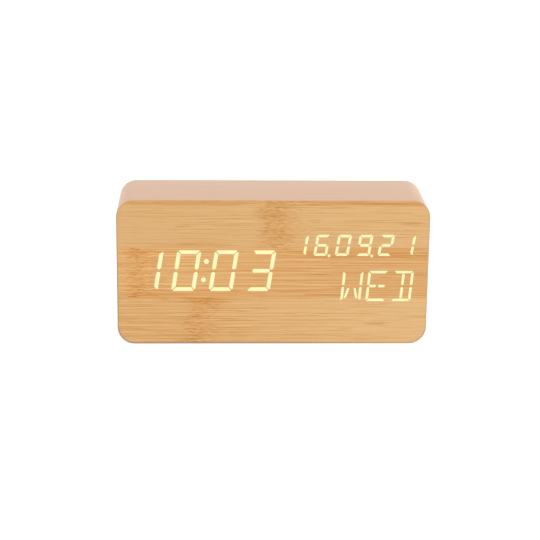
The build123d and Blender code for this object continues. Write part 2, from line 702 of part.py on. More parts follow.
def battery_door():
    """The flush door: two tabs below, a spring finger with a nib and grip ribs above."""
    door = slab(rounded(DOOR_LENGTH, DOOR_HEIGHT, DOOR_RADIUS, BAY_X), DOOR_SEAT_Y, COVER_OUTER_Y)
    door -= slab(finger_sketch(), DOOR_SEAT_Y - OVERRUN, COVER_OUTER_Y + OVERRUN)
    for i in (-1, 1):
        tab = Pos(BAY_X + i * TAB_SPACING / 2, DOOR_FOOT_Z) * Rectangle(TAB_WIDTH, 2 * TAB_REACH)
        door += slab(tab, DOOR_SEAT_Y, DOOR_SEAT_Y + TAB_THICKNESS)
    nib_y = (DOOR_SEAT_Y + COVER_OUTER_Y) / 2
    nib = Pos(nib_y, DOOR_HEAD_Z + NIB_REACH - NIB_DIAMETER / 2) * Circle(NIB_DIAMETER / 2)
    door += block(nib, BAY_X - FINGER_WIDTH / 4, BAY_X + FINGER_WIDTH / 4)
    for index in range(GRIP_COUNT):
        z = DOOR_HEAD_Z - GRIP_INSET - index * GRIP_PITCH
        grip = Pos(BAY_X, z) * SlotOverall(FINGER_WIDTH - 2 * GRIP_INSET, GRIP_WIDTH)
        door += slab(grip, COVER_OUTER_Y, COVER_OUTER_Y + GRIP_HEIGHT)
    return door


def wall_x(side):
    """The face of a contact plate towards the cells, on one end wall of the bay."""
    return BAY_X + side * (BAY_LENGTH / 2 - CONTACT_THICKNESS)


def battery_cell(index):
    """A cell along X, its nub at the pole side."""
    pole = CELL_POLES[index]
    spot = (CELL_Y, cell_z(index))
    tip = wall_x(pole) - pole * DIMPLE_HEIGHT
    ends = sorted((tip - pole * NUB_HEIGHT, tip - pole * CELL_LENGTH))
    can = block(Pos(*spot) * Circle(CELL_DIAMETER / 2), ends[0], ends[1])
    can = fillet(can.edges().filter_by(GeomType.CIRCLE), CELL_ROUND)
    nub = sorted((tip - pole * NUB_HEIGHT, tip))
    return can + block(Pos(*spot) * Circle(NUB_DIAMETER / 2), nub[0], nub[1])


def contact(side, first, last, terminal=False):
    """A plate on an end wall across the cells first to last, dimpled where it meets a nub."""
    face = wall_x(side)
    middle = (cell_z(first) + cell_z(last)) / 2
    sketch = Pos(CELL_Y, middle) * Rectangle(CONTACT_WIDTH, CONTACT_WIDTH + cell_z(first) - cell_z(last))
    if terminal:
        reach = CELL_Y - TERMINAL_END_Y
        sketch += Pos(TERMINAL_END_Y + reach / 2, middle) * Rectangle(reach, TERMINAL_WIDTH)
    ends = sorted((face, face + side * CONTACT_THICKNESS))
    plate = block(sketch, ends[0], ends[1])
    for index in range(first, last + 1):
        if CELL_POLES[index] == side:
            base = Plane((face, CELL_Y, cell_z(index)), x_dir=(0, 1, 0), z_dir=(-side, 0, 0))
            sizes = (DIMPLE_DIAMETER / 2, DIMPLE_TIP_DIAMETER / 2, DIMPLE_HEIGHT)
            plate += base * Cone(*sizes, align=(Align.CENTER, Align.CENTER, Align.MIN))
    return plate


def coil_point(index, turn):
    """The middle of the wire after a number of turns, from the wide end at the plate to the cell."""
    side = -CELL_POLES[index]
    share = turn / SPRING_TURNS
    inset = SPRING_WIRE / 2 + SPRING_FIT
    along = inset + share * (SPRING_LENGTH - 2 * inset)
    radius = (SPRING_DIAMETER + share * (SPRING_TIP_DIAMETER - SPRING_DIAMETER)) / 2
    angle = 2 * math.pi * turn
    y = CELL_Y + radius * math.cos(angle)
    return Vector(wall_x(side) - side * along, y, cell_z(index) + radius * math.sin(angle))


def biarc(start, start_way, end, end_way):
    """Two arcs that join two points and meet both directions."""
    span = end - start
    both = start_way + end_way
    bend = 2 * (1 - start_way.dot(end_way))
    run = (math.sqrt(span.dot(both) ** 2 + bend * span.dot(span)) - span.dot(both)) / bend
    middle = (start + end + (start_way - end_way) * run) * 0.5
    way = (end - end_way * run - start - start_way * run).normalized()
    return [Edge.make_tangent_arc(start, start_way, middle), Edge.make_tangent_arc(middle, way, end)]


def coil_way(index, turn):
    """The direction of the wire after a number of turns."""
    sliver = SPRING_TURNS / 1e5
    return (coil_point(index, turn + sliver) - coil_point(index, turn - sliver)).normalized()


def battery_spring(index):
    """A tapered coil between the contact plate and the flat end of a cell."""
    quarters = round(SPRING_TURNS * 4)
    edges = []
    for quarter in range(quarters):
        turns = (quarter / 4, (quarter + 1) / 4)
        (start, start_way), (end, end_way) = [(coil_point(index, t), coil_way(index, t)) for t in turns]
        edges += biarc(start, start_way, end, end_way)
    foot = Plane(coil_point(index, 0), z_dir=coil_way(index, 0))
    return sweep(foot * Circle(SPRING_WIRE / 2), path=Wire(edges))


def coil_gap():
    """The least space between neighbouring turns of a spring."""
    steps = [i / 36 for i in range(round(SPRING_TURNS * 36) + 1)]
    spots = [coil_point(0, step) for step in steps]
    far = [(a - b).length for i, a in enumerate(spots) for b in spots[i + 18:]]
    return min(far) - SPRING_WIRE


def rounded_path(points):
    """Straight runs through the points with every corner turned by an arc."""
    spots = [Vector(*point) for point in points]
    edges = []
    start = spots[0]
    for before, corner, after in zip(spots, spots[1:], spots[2:]):
        arriving = (corner - before).normalized()
        leaving = (after - corner).normalized()
        setback = BEND_SHARE * min((corner - before).length, (after - corner).length)
        edges.append(Edge.make_line(start, corner - arriving * setback))
        edges.append(Edge.make_tangent_arc(corner - arriving * setback, arriving, corner + leaving * setback))
        start = corner + leaving * setback
    edges.append(Edge.make_line(start, spots[-1]))
    return Wire(edges)


def battery_lead(side, index):
    """A wire from a terminal behind the bay to the display board."""
    x = BAY_X + side * (BAY_LENGTH - CONTACT_THICKNESS) / 2
    end_x = x - side * LEAD_SHIFT
    z = cell_z(index)
    third = (TERMINAL_END_Y - BOARD_REAR_Y) / 3
    points = [
        (x, TERMINAL_END_Y, z), (x, TERMINAL_END_Y - third, z),
        (end_x, BOARD_REAR_Y + third, z), (end_x, BOARD_REAR_Y, z),
    ]
    start = Plane(points[0], z_dir=(0, -1, 0))
    return sweep(start * Circle(LEAD_DIAMETER / 2), path=rounded_path(points))


def ribbon_cable():
    """The flat cable from the button board to the display board."""
    x = KEYS_X
    low = MID_Z - RIBBON_DROP
    third = (KEY_BOARD_FRONT_Y - BOARD_REAR_Y) / 3
    points = [
        (x, KEY_BOARD_FRONT_Y, MID_Z), (x, KEY_BOARD_FRONT_Y - third, MID_Z),
        (x, BOARD_REAR_Y + third, low), (x, BOARD_REAR_Y, low),
    ]
    start = Plane(points[0], x_dir=(1, 0, 0), z_dir=(0, -1, 0))
    return sweep(start * Rectangle(RIBBON_WIDTH, RIBBON_THICKNESS), path=rounded_path(points))


def button_outline(index, growth=0):
    size = (BUTTON_LENGTH + 2 * growth, BUTTON_HEIGHT + 2 * growth, BUTTON_RADIUS + growth)
    return rounded(*size, button_x(index), KEYS_Z)


def button(index):
    """A cap through the cover, held by an inner flange, with a stem that meets its switch."""
    cap = slab(button_outline(index), COVER_INNER_Y - FLANGE_THICKNESS, COVER_OUTER_Y + BUTTON_PROUD)
    cap = fillet(cap.faces().sort_by(Axis.Y)[-1].edges(), BUTTON_ROUND)
    cap += slab(button_outline(index, FLANGE_REACH), COVER_INNER_Y - FLANGE_THICKNESS, COVER_INNER_Y)
    return cap + slab(disc(STEM_DIAMETER, button_x(index), KEYS_Z), PLUNGER_TOP_Y, COVER_INNER_Y)


def switch_body(index):
    """A switch on the button board with a well for its plunger."""
    outline = Pos(button_x(index), KEYS_Z) * Rectangle(SWITCH_SIZE, SWITCH_SIZE)
    body = slab(outline, KEY_BOARD_REAR_Y, SWITCH_TOP_Y)
    well = disc(PLUNGER_DIAMETER + 2 * PLUNGER_FIT, button_x(index), KEYS_Z)
    return body - slab(well, SWITCH_TOP_Y - PLUNGER_WELL, SWITCH_TOP_Y + OVERRUN)


def plunger(index):
    return slab(disc(PLUNGER_DIAMETER, button_x(index), KEYS_Z), SWITCH_TOP_Y - PLUNGER_ROOT, PLUNGER_TOP_Y)


def button_board():
    """The board that carries the switches and the socket, screwed to the cover's bosses."""
    outline = rounded(KEY_BOARD_WIDTH, KEY_BOARD_HEIGHT, KEY_BOARD_RADIUS, KEYS_X)
    board = slab(outline, KEY_BOARD_FRONT_Y, KEY_BOARD_REAR_Y)
    for x, z in key_screw_places():
        board -= slab(disc(SCREW_DIAMETER + 2 * SCREW_CLEARANCE, x, z), KEY_BOARD_FRONT_Y, KEY_BOARD_REAR_Y)
    return board


def dc_jack():
    """The power socket on the button board, its nose in the cover."""
    body = slab(Pos(JACK_X, JACK_Z) * Rectangle(JACK_SIZE, JACK_SIZE), KEY_BOARD_REAR_Y, JACK_SHOULDER_Y)
    body += slab(disc(JACK_NOSE_DIAMETER, JACK_X, JACK_Z), KEY_BOARD_REAR_Y, JACK_MOUTH_Y)
    return body - slab(disc(JACK_BORE_DIAMETER, JACK_X, JACK_Z), JACK_FLOOR_Y, JACK_MOUTH_Y + OVERRUN)


def dc_jack_pin():
    pin = slab(disc(JACK_PIN_DIAMETER, JACK_X, JACK_Z), JACK_FLOOR_Y, JACK_FLOOR_Y + JACK_PIN_LENGTH)
    return fillet(pin.faces().sort_by(Axis.Y)[-1].edges(), JACK_PIN_DIAMETER / 4)


def buzzer_plate():
    return slab(disc(BUZZER_DIAMETER, BUZZER_X, BUZZER_Z), BUZZER_SEAT_Y - BUZZER_THICKNESS, BUZZER_SEAT_Y)


def buzzer_ceramic():
    rear = BUZZER_SEAT_Y - BUZZER_THICKNESS
    return slab(disc(CERAMIC_DIAMETER, BUZZER_X, BUZZER_Z), rear - CERAMIC_THICKNESS, rear)


def build():
    """Every piece by name; a list holds the separate solids of one group."""
    cells = time_cells() + date_cells() + day_cells()
    count = range(len(CELL_POLES))
    pieces = {
        "case_core": case_core(),
        "side_veneer": side_veneer(),
        "front_panel": front_panel(cells),
        "rear_veneer": rear_veneer(),
        "display_frame": display_frame(cells),
        "time_segments": lit_fills(cells, "time"),
        "date_segments": lit_fills(cells, "date"),
        "weekday_segments": lit_fills(cells, "day"),
        "unlit_segments": unlit_fills(cells),
        "led_chips": led_chips(cells),
        "display_board": display_board(),
        "display_board_screws": board_screws(),
        "controller_chip": controller_chip(),
        "crystal": crystal(),
        "capacitor": capacitor(),
        "rear_cover": rear_cover(),
        "rear_cover_screws": cover_screws(),
        "battery_door": battery_door(),
        "battery_cells": [battery_cell(index) for index in count],
        "positive_contact": contact(1, 0, 0, terminal=True),
        "negative_contact": contact(-1, 2, 2, terminal=True),
        "bridge_contacts": [contact(-1, 0, 1), contact(1, 1, 2)],
        "battery_springs": [battery_spring(index) for index in count],
        "positive_lead": battery_lead(1, 0),
        "negative_lead": battery_lead(-1, 2),
        "ribbon_cable": ribbon_cable(),
        "button_board": button_board(),
        "button_board_screws": key_screws(),
        "switch_bodies": [switch_body(index) for index in range(len(BUTTON_NAMES))],
        "dc_jack": dc_jack(),
        "dc_jack_pin": dc_jack_pin(),
        "buzzer_plate": buzzer_plate(),
        "buzzer_ceramic": buzzer_ceramic(),
    }
    for index, name in enumerate(BUTTON_NAMES):
        pieces[name + "_button"] = button(index)
        pieces[name + "_plunger"] = plunger(index)
    return pieces


def main():
    os.makedirs("parts", exist_ok=True)
    for name, piece in build().items():
        solids = piece if isinstance(piece, list) else [piece]
        shape = Compound([solid for item in solids for solid in item.solids()])
        export_step(shape, "parts/" + name + ".step")
    print("spring wire radius", SPRING_WIRE / 2, "least gap between turns", round(coil_gap(), 3))


main()
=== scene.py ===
import json
import math
from collections import namedtuple

import bpy
import numpy as np
from mathutils import Matrix, Vector


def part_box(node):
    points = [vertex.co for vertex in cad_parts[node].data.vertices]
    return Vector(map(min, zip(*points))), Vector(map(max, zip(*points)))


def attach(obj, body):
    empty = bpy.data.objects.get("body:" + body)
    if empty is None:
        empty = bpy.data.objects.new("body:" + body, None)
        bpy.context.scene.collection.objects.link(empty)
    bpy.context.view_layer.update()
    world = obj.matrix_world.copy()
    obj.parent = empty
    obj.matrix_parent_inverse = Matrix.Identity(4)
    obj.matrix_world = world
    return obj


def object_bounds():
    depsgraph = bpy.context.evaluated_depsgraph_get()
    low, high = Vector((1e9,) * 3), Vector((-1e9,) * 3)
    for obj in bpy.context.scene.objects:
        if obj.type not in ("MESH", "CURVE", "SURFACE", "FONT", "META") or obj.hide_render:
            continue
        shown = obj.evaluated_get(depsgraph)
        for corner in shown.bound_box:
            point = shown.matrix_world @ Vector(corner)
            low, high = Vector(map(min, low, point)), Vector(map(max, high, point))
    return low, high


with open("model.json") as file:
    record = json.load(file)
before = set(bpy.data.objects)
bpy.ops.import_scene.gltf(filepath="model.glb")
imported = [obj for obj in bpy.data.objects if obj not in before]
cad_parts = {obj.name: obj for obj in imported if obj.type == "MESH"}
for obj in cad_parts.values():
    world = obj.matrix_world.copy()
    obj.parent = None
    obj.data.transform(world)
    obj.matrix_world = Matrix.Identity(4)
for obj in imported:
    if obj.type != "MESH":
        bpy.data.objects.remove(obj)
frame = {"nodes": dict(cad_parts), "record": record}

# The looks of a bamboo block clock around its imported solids: wood, moulded, metal and lit finishes,
# the raised marks on its buttons and door, and the studio it stands in.
# Lengths are in metres, and in millimetres where a pattern is drawn or a name ends in MM.

CAD_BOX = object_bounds()
MM = 0.001

# The case as the solids give it
FACE_LOW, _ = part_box("front_panel")
CELLS_LOW, CELLS_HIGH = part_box("battery_cells")
DOOR_LOW, DOOR_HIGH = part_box("battery_door")
_, COVER_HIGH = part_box("rear_cover")
RIBBON_LOW, RIBBON_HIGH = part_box("ribbon_cable")
HALF_WIDTH_MM = CAD_BOX[1].x / MM
HALF_HEIGHT_MM = CAD_BOX[1].z / 2 / MM
TOP_MM = 2 * HALF_HEIGHT_MM
FRONT_MM = FACE_LOW.y / MM
CORNER_RADIUS_MM = 8.5

# The camera, fitted to the outline in the photograph
CAMERA_PLACE = Vector((-31.11, -784.63, 270.58)) * MM
CAMERA_YAW = math.radians(2.22)
CAMERA_PITCH = math.radians(16.943)
CAMERA_ROLL = math.radians(-0.694)
CAMERA_LENS = 110.87
CAMERA_SENSOR = 36.0
CAMERA_FAR = 50.0

# Bamboo strips of the face, from the bottom up: lower and upper edge, seed, the clear wood's colours at the
# left and right ends, the knuckle's place and half width, strength of the lines at both ends, and of dashes
Strip = namedtuple("Strip", "low high seed left right knuckle reach lines lines_right dashes")
LOWER_JOINT_MM, UPPER_JOINT_MM = 23.5, 48.5
FACE_STRIPS = (
    Strip(0.0, LOWER_JOINT_MM, 3.37, (0.742, 0.441, 0.183), (0.782, 0.506, 0.235),
          -36.0, 4.0, 0.75, 0.32, 0.8),
    Strip(LOWER_JOINT_MM, UPPER_JOINT_MM, 11.61, (0.765, 0.445, 0.176), (0.726, 0.412, 0.159),
          -64.5, 4.5, 0.75, 0.70, 0.7),
    Strip(UPPER_JOINT_MM, TOP_MM, 23.43, (0.722, 0.446, 0.194), (0.748, 0.471, 0.209),
          1.0, 5.2, 0.35, 0.40, 0.7),
)

# The rear frame's strips, which meet at half its height, and the wrapped sheet, whose edges and knuckle lie
# off the case
REAR_STRIPS = (
    FACE_STRIPS[0]._replace(high=HALF_HEIGHT_MM, seed=41.3, knuckle=48.0),
    FACE_STRIPS[2]._replace(low=HALF_HEIGHT_MM, seed=57.9, knuckle=-20.0),
)
SIDE_WOOD = (0.670, 0.442, 0.309)
SIDE_STRIP = Strip(-30.0, 30.0, 71.53, SIDE_WOOD, SIDE_WOOD, 400.0, 7.0, 0.32, 0.32, 0.25)

# Browner patches of the face: middle, half length, half height, strength
Stain = namedtuple("Stain", "x z length height strength")
FACE_STAINS = (
    Stain(-40.0, 70.5, 36.0, 1.5, 1.0),
    Stain(42.0, 70.6, 44.0, 1.5, 1.0),
    Stain(-50.0, 25.0, 40.0, 2.2, 0.5),
    Stain(45.0, 46.0, 45.0, 2.4, 0.6),
    Stain(-38.0, 50.0, 24.0, 1.6, 0.6),
    Stain(-31.0, 21.6, 12.0, 2.0, 0.9),
    Stain(1.5, 60.0, 9.0, 12.5, 0.40),
    Stain(57.0, 70.4, 24.0, 0.5, 1.0),
)
STAIN_SEED, STAIN_SEED_STEP = 61.3, 3.1

# Layers of noise in the grain: what each adds to the seed, its features' length and width, and its detail
Layer = namedtuple("Layer", "step along across detail", defaults=(0.0,))
KNUCKLE_DRIFT = Layer(1.7, 40.0, 7.0, 1.0)
KNUCKLE_RAGS = Layer(2.3, 5.0, 0.7, 1.0)
FIBRE_SWAY = Layer(3.1, 3.1, 1.7, 1.0)
LONG_LINES = Layer(4.9, 60.0, 0.55)
FINE_LINES = Layer(5.3, 26.0, 0.40)
SLOW_TONE = Layer(6.7, 70.0, 5.0, 1.0)
FLECKS = Layer(7.1, 2.0, 0.60)
LIVELY_PATCHES = Layer(8.3, 34.0, 6.0, 1.0)
BLOTCHES = Layer(9.7, 3.4, 2.6, 2.0)
DASHES = Layer(10.9, 30.0, 0.50)
NICKS = Layer(11.3, 12.0, 0.38)
CRUMBS = Layer(12.1, 4.0, 0.60)

# How far the knuckle's ends and its fibres are shifted, and where it starts and ends, in half widths
DRIFT_MM, RAGS_MM, SWAY_MM = 11.0, 13.0, 1.6
TRUNK_EDGE = (0.5, 1.3)
LEFT_EDGE = (-2.2, -0.8)
RIGHT_EDGE = (1.0, 3.4)

# Shares of the layers in the grain's tone and brown
LONG_SHARE, FINE_SHARE, SLOW_SHARE = 1.7, 1.1, 0.4
KNUCKLE_CRINKLE, CLEAR_CRINKLE = 0.8, 0.1
BLOTCH_BROWN, TRUNK_BROWN, SWAY_BROWN = 0.35, 0.40, 0.3
SEAM_BROWN = 0.4
WOOD_DULL, PALE_GLOSS = 0.52, -0.10

# Where the grain's smooth steps start and end: in noise, in a patch's strength, or in millimetres
PATCH_EDGE, PATCH_GAIN = (0.36, 0.62), (0.6, 1.25)
QUIET_PATCH = (0.5, 1.0)
BLOTCH_EDGE = (0.40, 0.60)
DASH_PEAKS = (0.66, 0.72)
NICK_PEAKS = (0.69, 0.74)
CRUMB_PEAKS = (0.62, 0.72)
SEAM_MM = (0.02, 0.30)
FADE_MM = 60.0

# What the wood's colour is multiplied by in its lines, knuckles, marks and seams
DARK_LINE = (0.88, 0.72, 0.54)
PALE_LINE = (1.06, 1.15, 1.23)
BROWN = (0.925, 0.792, 0.61)
MARK_TINT = (0.80, 0.66, 0.50)
SEAM_TINT = (0.80, 0.66, 0.48)

# The range that most of the noise fills
NOISE_SPAN = (0.3, 0.7)

# The face's sheet laps over the wrapped sheet's cut edge and leaves a little of it bare, less along the top.
# It ends in a darker line: the joint between the sheets, with painted shade that makes it wider by the foot
# and fades it up and to the right.
RIM_SHADE = (0.38, 0.27, 0.16)
RIM_DEPTH_MM = (0.15, 0.25)
SIDE_BARE_MM, TOP_BARE_MM = 0.36, 0.06
BARE_CHANGE_MM = (TOP_MM - 5.0, TOP_MM - 1.0)
LAP_EDGE_MM = 0.03
RIM_LINE_MM = (0.14, 0.30)
# The line's painted shade: how much wider it is by the foot and where, and how it fades up and to the right
FOOT_SHADE_WIDENING_MM, FOOT_SHADE_RANGE_MM = 0.2, (3.0, 12.0)
PAINTED_SHADE_FADE_RISE, PAINTED_SHADE_FADE_MM, PAINTED_SHADE_FADE_LEVELS = 2.0, (-30.0, 130.0), (1.0, 0.3)

# The battery cells: pitch, length, and what is printed or bare, measured from the nub's end or the foot
CELL_PITCH_MM, CELL_LENGTH_MM = 11.0, 44.5
CELL_BAND_MM, CELL_PLUS_MM, CELL_NUB_MM = 13.0, 7.6, 1.45
CELL_MINUS_MM, CELL_RIM_MM = 5.6, 0.35
SIGN_HALF_LENGTH_MM, SIGN_HALF_WIDTH_MM = 1.5, 0.32
PRINT_EDGE_MM = 0.1

# Marks on the buttons and the door, sunk a little into what carries them
MARK_SEAT = 0.04 * MM
MARK_HEIGHT = 0.14 * MM + MARK_SEAT
MARK_SIZE, MARK_SHARPNESS = 1.5 * MM, 9.0
RING_RADIUS, RING_WIDTH = 1.15 * MM, 0.45 * MM
ARROW_HEIGHT = 0.30 * MM + MARK_SEAT
ARROW_SIZE, ARROW_SHARPNESS = 2.4 * MM, 10.0
ARROW_DROP = 13.5 * MM
POINT_UP, POINT_DOWN = np.pi / 2, -np.pi / 2
WELD_GAP = 1e-7

# The studio: the floor's tone and own light, the sky's light, and lamps with place, size and power
FLOOR_REACH, FLOOR_DROP = 6.0, 0.05 * MM
FLOOR_TONE, FLOOR_GLOW, SKY_LIGHT = 0.55, 0.62, 0.57
MIDDLE = Vector((0.0, 0.0, HALF_HEIGHT_MM * MM))
WHITE = (1.0, 1.0, 1.0, 1.0)
Lamp = namedtuple("Lamp", "name place size power")
LAMPS = (
    Lamp("key", (-0.8, -1.3, 1.1), 1.2, 13.0),
    Lamp("fill", (1.1, -1.1, 1.0), 1.2, 12.0),
    Lamp("rear_left", (-1.5, 1.0, 0.5), 0.8, 8.0),
    Lamp("rear_right", (1.5, 1.0, 0.5), 0.8, 13.0),
)


# Node helpers


def grey(level):
    """One level on all three channels of a colour."""
    return (level, level, level)


def add(tree, kind, inputs=(), **settings):
    """A shader node with its settings, and a value or another node's output on each input that is named."""
    node = tree.nodes.new("ShaderNode" + kind)
    for name, value in settings.items():
        setattr(node, name, value)
    for key, value in dict(inputs).items():
        if isinstance(value, bpy.types.NodeSocket):
            tree.links.new(value, node.inputs[key])
        else:
            node.inputs[key].default_value = value
    return node


def calc(tree, operation, *values):
    """The result of one sum on values or outputs."""
    return add(tree, "Math", dict(enumerate(values)), operation=operation).outputs[0]


def vector(tree, operation, first, second):
    """The result of one sum on two vectors."""
    return add(tree, "VectorMath", {0: first, 1: second}, operation=operation).outputs[0]


def remap(tree, value, low, high, to_low=0.0, to_high=1.0):
    """A smooth step of a value from one range to another, held at both ends."""
    ranges = {"Value": value, "From Min": low, "From Max": high, "To Min": to_low, "To Max": to_high}
    return add(tree, "MapRange", ranges, interpolation_type="SMOOTHSTEP").outputs[0]


def between(tree, share, first, second):
    """Two values mixed by a share of the second."""
    return add(tree, "Mix", {0: share, 2: first, 3: second}).outputs[0]


def mixed(tree, share, first, second, blend_type="MIX"):
    """Two colours mixed by a share of the second."""
    first, second = [c if isinstance(c, bpy.types.NodeSocket) else (*c, 1.0) for c in (first, second)]
    values = {0: share, 6: first, 7: second}
    return add(tree, "Mix", values, data_type="RGBA", blend_type=blend_type).outputs[2]


def tinted(tree, colour, ratio):
    """A colour with each of its channels multiplied."""
    return mixed(tree, 1.0, colour, ratio, "MULTIPLY")


def spot(tree, x, y, z):
    """A place from its three values."""
    return add(tree, "CombineXYZ", {0: x, 1: y, 2: z}).outputs[0]


def noise(tree, place, detail=2.0, roughness=0.5):
    """Soft noise about one half, with about one feature in each unit of the place."""
    wanted = {"Vector": place, "Scale": 1.0, "Detail": detail, "Roughness": roughness}
    return add(tree, "TexNoise", wanted).outputs[0]


def tiles(tree, place, **settings):
    """The distance within uneven tiles, about one in each unit of the place."""
    return add(tree, "TexVoronoi", {"Vector": place, "Scale": 1.0}, **settings).outputs["Distance"]


def streaks(tree, x, y, seed, along, across, detail=2.0):
    """Noise drawn out along x: its features are so many millimetres long and wide."""
    place = spot(tree, calc(tree, "DIVIDE", x, along), calc(tree, "DIVIDE", y, across), seed)
    return noise(tree, place, detail)


def place_mm(tree):
    """Object coordinates in millimetres: the place, and its x, y and z."""
    coordinates = add(tree, "TexCoord").outputs["Object"]
    scaled = add(tree, "Mapping", {"Vector": coordinates, "Scale": (1 / MM, 1 / MM, 1 / MM)}).outputs[0]
    parts = add(tree, "SeparateXYZ", {0: scaled}).outputs
    return scaled, parts[0], parts[1], parts[2]


def new_group(name, inputs, outputs):
    """An empty shader group with named sockets, and the sockets at its two ends."""
    tree = bpy.data.node_groups.new(name, "ShaderNodeTree")
    for sockets, way in ((inputs, "INPUT"), (outputs, "OUTPUT")):
        for label, kind in sockets.items():
            tree.interface.new_socket(label, in_out=way, socket_type="NodeSocket" + kind)
    return tree, tree.nodes.new("NodeGroupInput").outputs, tree.nodes.new("NodeGroupOutput").inputs


def surface_group(name, inputs):
    """A group that puts out a surface's colour, relief and roughness."""
    return new_group(name, inputs, {"Color": "Color", "Relief": "Float", "Roughness": "Float"})


def put_out(tree, result, colour, relief, roughness):
    """Joins a surface's colour, relief and roughness to its group's end."""
    for label, value in (("Color", colour), ("Relief", relief), ("Roughness", roughness)):
        tree.links.new(value, result[label])


def new_material(name, **constants):
    """A material with constants on its shader's own sockets."""
    material = bpy.data.materials.new(name)
    material.use_nodes = True
    tree = material.node_tree
    shader = tree.nodes["Principled BSDF"]
    for label, value in constants.items():
        shader.inputs[label.replace("_", " ")].default_value = value
    return material, tree, shader


def feed(tree, shader, colour, roughness=None):
    """Joins a pattern's colour, and its roughness where it has one, to a shader."""
    tree.links.new(colour, shader.inputs["Base Color"])
    if roughness is not None:
        tree.links.new(roughness, shader.inputs["Roughness"])


def emboss(tree, shader, height, depth_mm, strength):
    """Joins a pattern's height to a shader as a bump so deep."""
    bump = add(tree, "Bump", {"Height": height, "Distance": depth_mm * MM, "Strength": strength})
    tree.links.new(bump.outputs[0], shader.inputs["Normal"])


# Shared effects


def layer(tree, given, kind, rise):
    """One layer of a strip's noise, at a rise across the strip."""
    seed = calc(tree, "ADD", given["Seed"], kind.step)
    return streaks(tree, given["Along"], rise, seed, kind.along, kind.across, kind.detail)


def thin_lines(tree, given, kind, rise):
    """Lines as wide as a layer's features: the layer less itself one width higher up."""
    higher = calc(tree, "ADD", rise, kind.across)
    return calc(tree, "SUBTRACT", layer(tree, given, kind, rise), layer(tree, given, kind, higher))


def swing(tree, given, kind, spread_mm):
    """A layer as a shift to both sides of zero, over so many millimetres in all."""
    value = layer(tree, given, kind, given["Across"])
    return calc(tree, "MULTIPLY_ADD", value, spread_mm, -spread_mm / 2)


def knuckle_shares(tree, given):
    """Where a strip's knuckle lies: its brown trunk, and the longer stretch around it where fibres sway.
    Each fibre shifts the ends of both by its own noise."""
    drift = swing(tree, given, KNUCKLE_DRIFT, DRIFT_MM)
    shift = calc(tree, "ADD", drift, swing(tree, given, KNUCKLE_RAGS, RAGS_MM))
    past = calc(tree, "ADD", calc(tree, "SUBTRACT", given["Along"], given["Knuckle"]), shift)
    off = calc(tree, "DIVIDE", past, given["Reach"])
    trunk = remap(tree, calc(tree, "ABSOLUTE", off), *TRUNK_EDGE, 1.0, 0.0)
    around = calc(tree, "MULTIPLY", remap(tree, off, *LEFT_EDGE), remap(tree, off, *RIGHT_EDGE, 1.0, 0.0))
    return trunk, around


def clear_tone(tree, given, fibre, fine, amount, around):
    """How pale the wood is, about one half: fine and long lines and slow changes by an amount, and short
    flecks that show most around the knuckle."""
    slow = layer(tree, given, SLOW_TONE, fibre)
    tone = calc(tree, "MULTIPLY_ADD", slow, SLOW_SHARE, -SLOW_SHARE / 2)
    tone = calc(tree, "MULTIPLY_ADD", fine, FINE_SHARE, tone)
    tone = calc(tree, "MULTIPLY_ADD", thin_lines(tree, given, LONG_LINES, fibre), LONG_SHARE, tone)
    clear = calc(tree, "MULTIPLY_ADD", tone, amount, 0.5)
    crinkle = calc(tree, "MULTIPLY_ADD", around, KNUCKLE_CRINKLE, CLEAR_CRINKLE)
    return calc(tree, "MULTIPLY_ADD", thin_lines(tree, given, FLECKS, fibre), crinkle, clear)


def dark_marks(tree, given, fibre, around, patch):
    """Dashes and nicks, which are the peaks of thin noise, and crumbs around the knuckle. All are weaker in
    quiet patches."""
    dash = remap(tree, layer(tree, given, DASHES, fibre), *DASH_PEAKS)
    nick = remap(tree, layer(tree, given, NICKS, fibre), *NICK_PEAKS)
    crumb = remap(tree, layer(tree, given, CRUMBS, fibre), *CRUMB_PEAKS)
    crumb = calc(tree, "MULTIPLY", crumb, around)
    marks = calc(tree, "MAXIMUM", calc(tree, "MAXIMUM", dash, nick), crumb)
    marks = calc(tree, "MULTIPLY", marks, given["Dashes"])
    return calc(tree, "MULTIPLY", marks, remap(tree, patch, *QUIET_PATCH, *QUIET_PATCH))


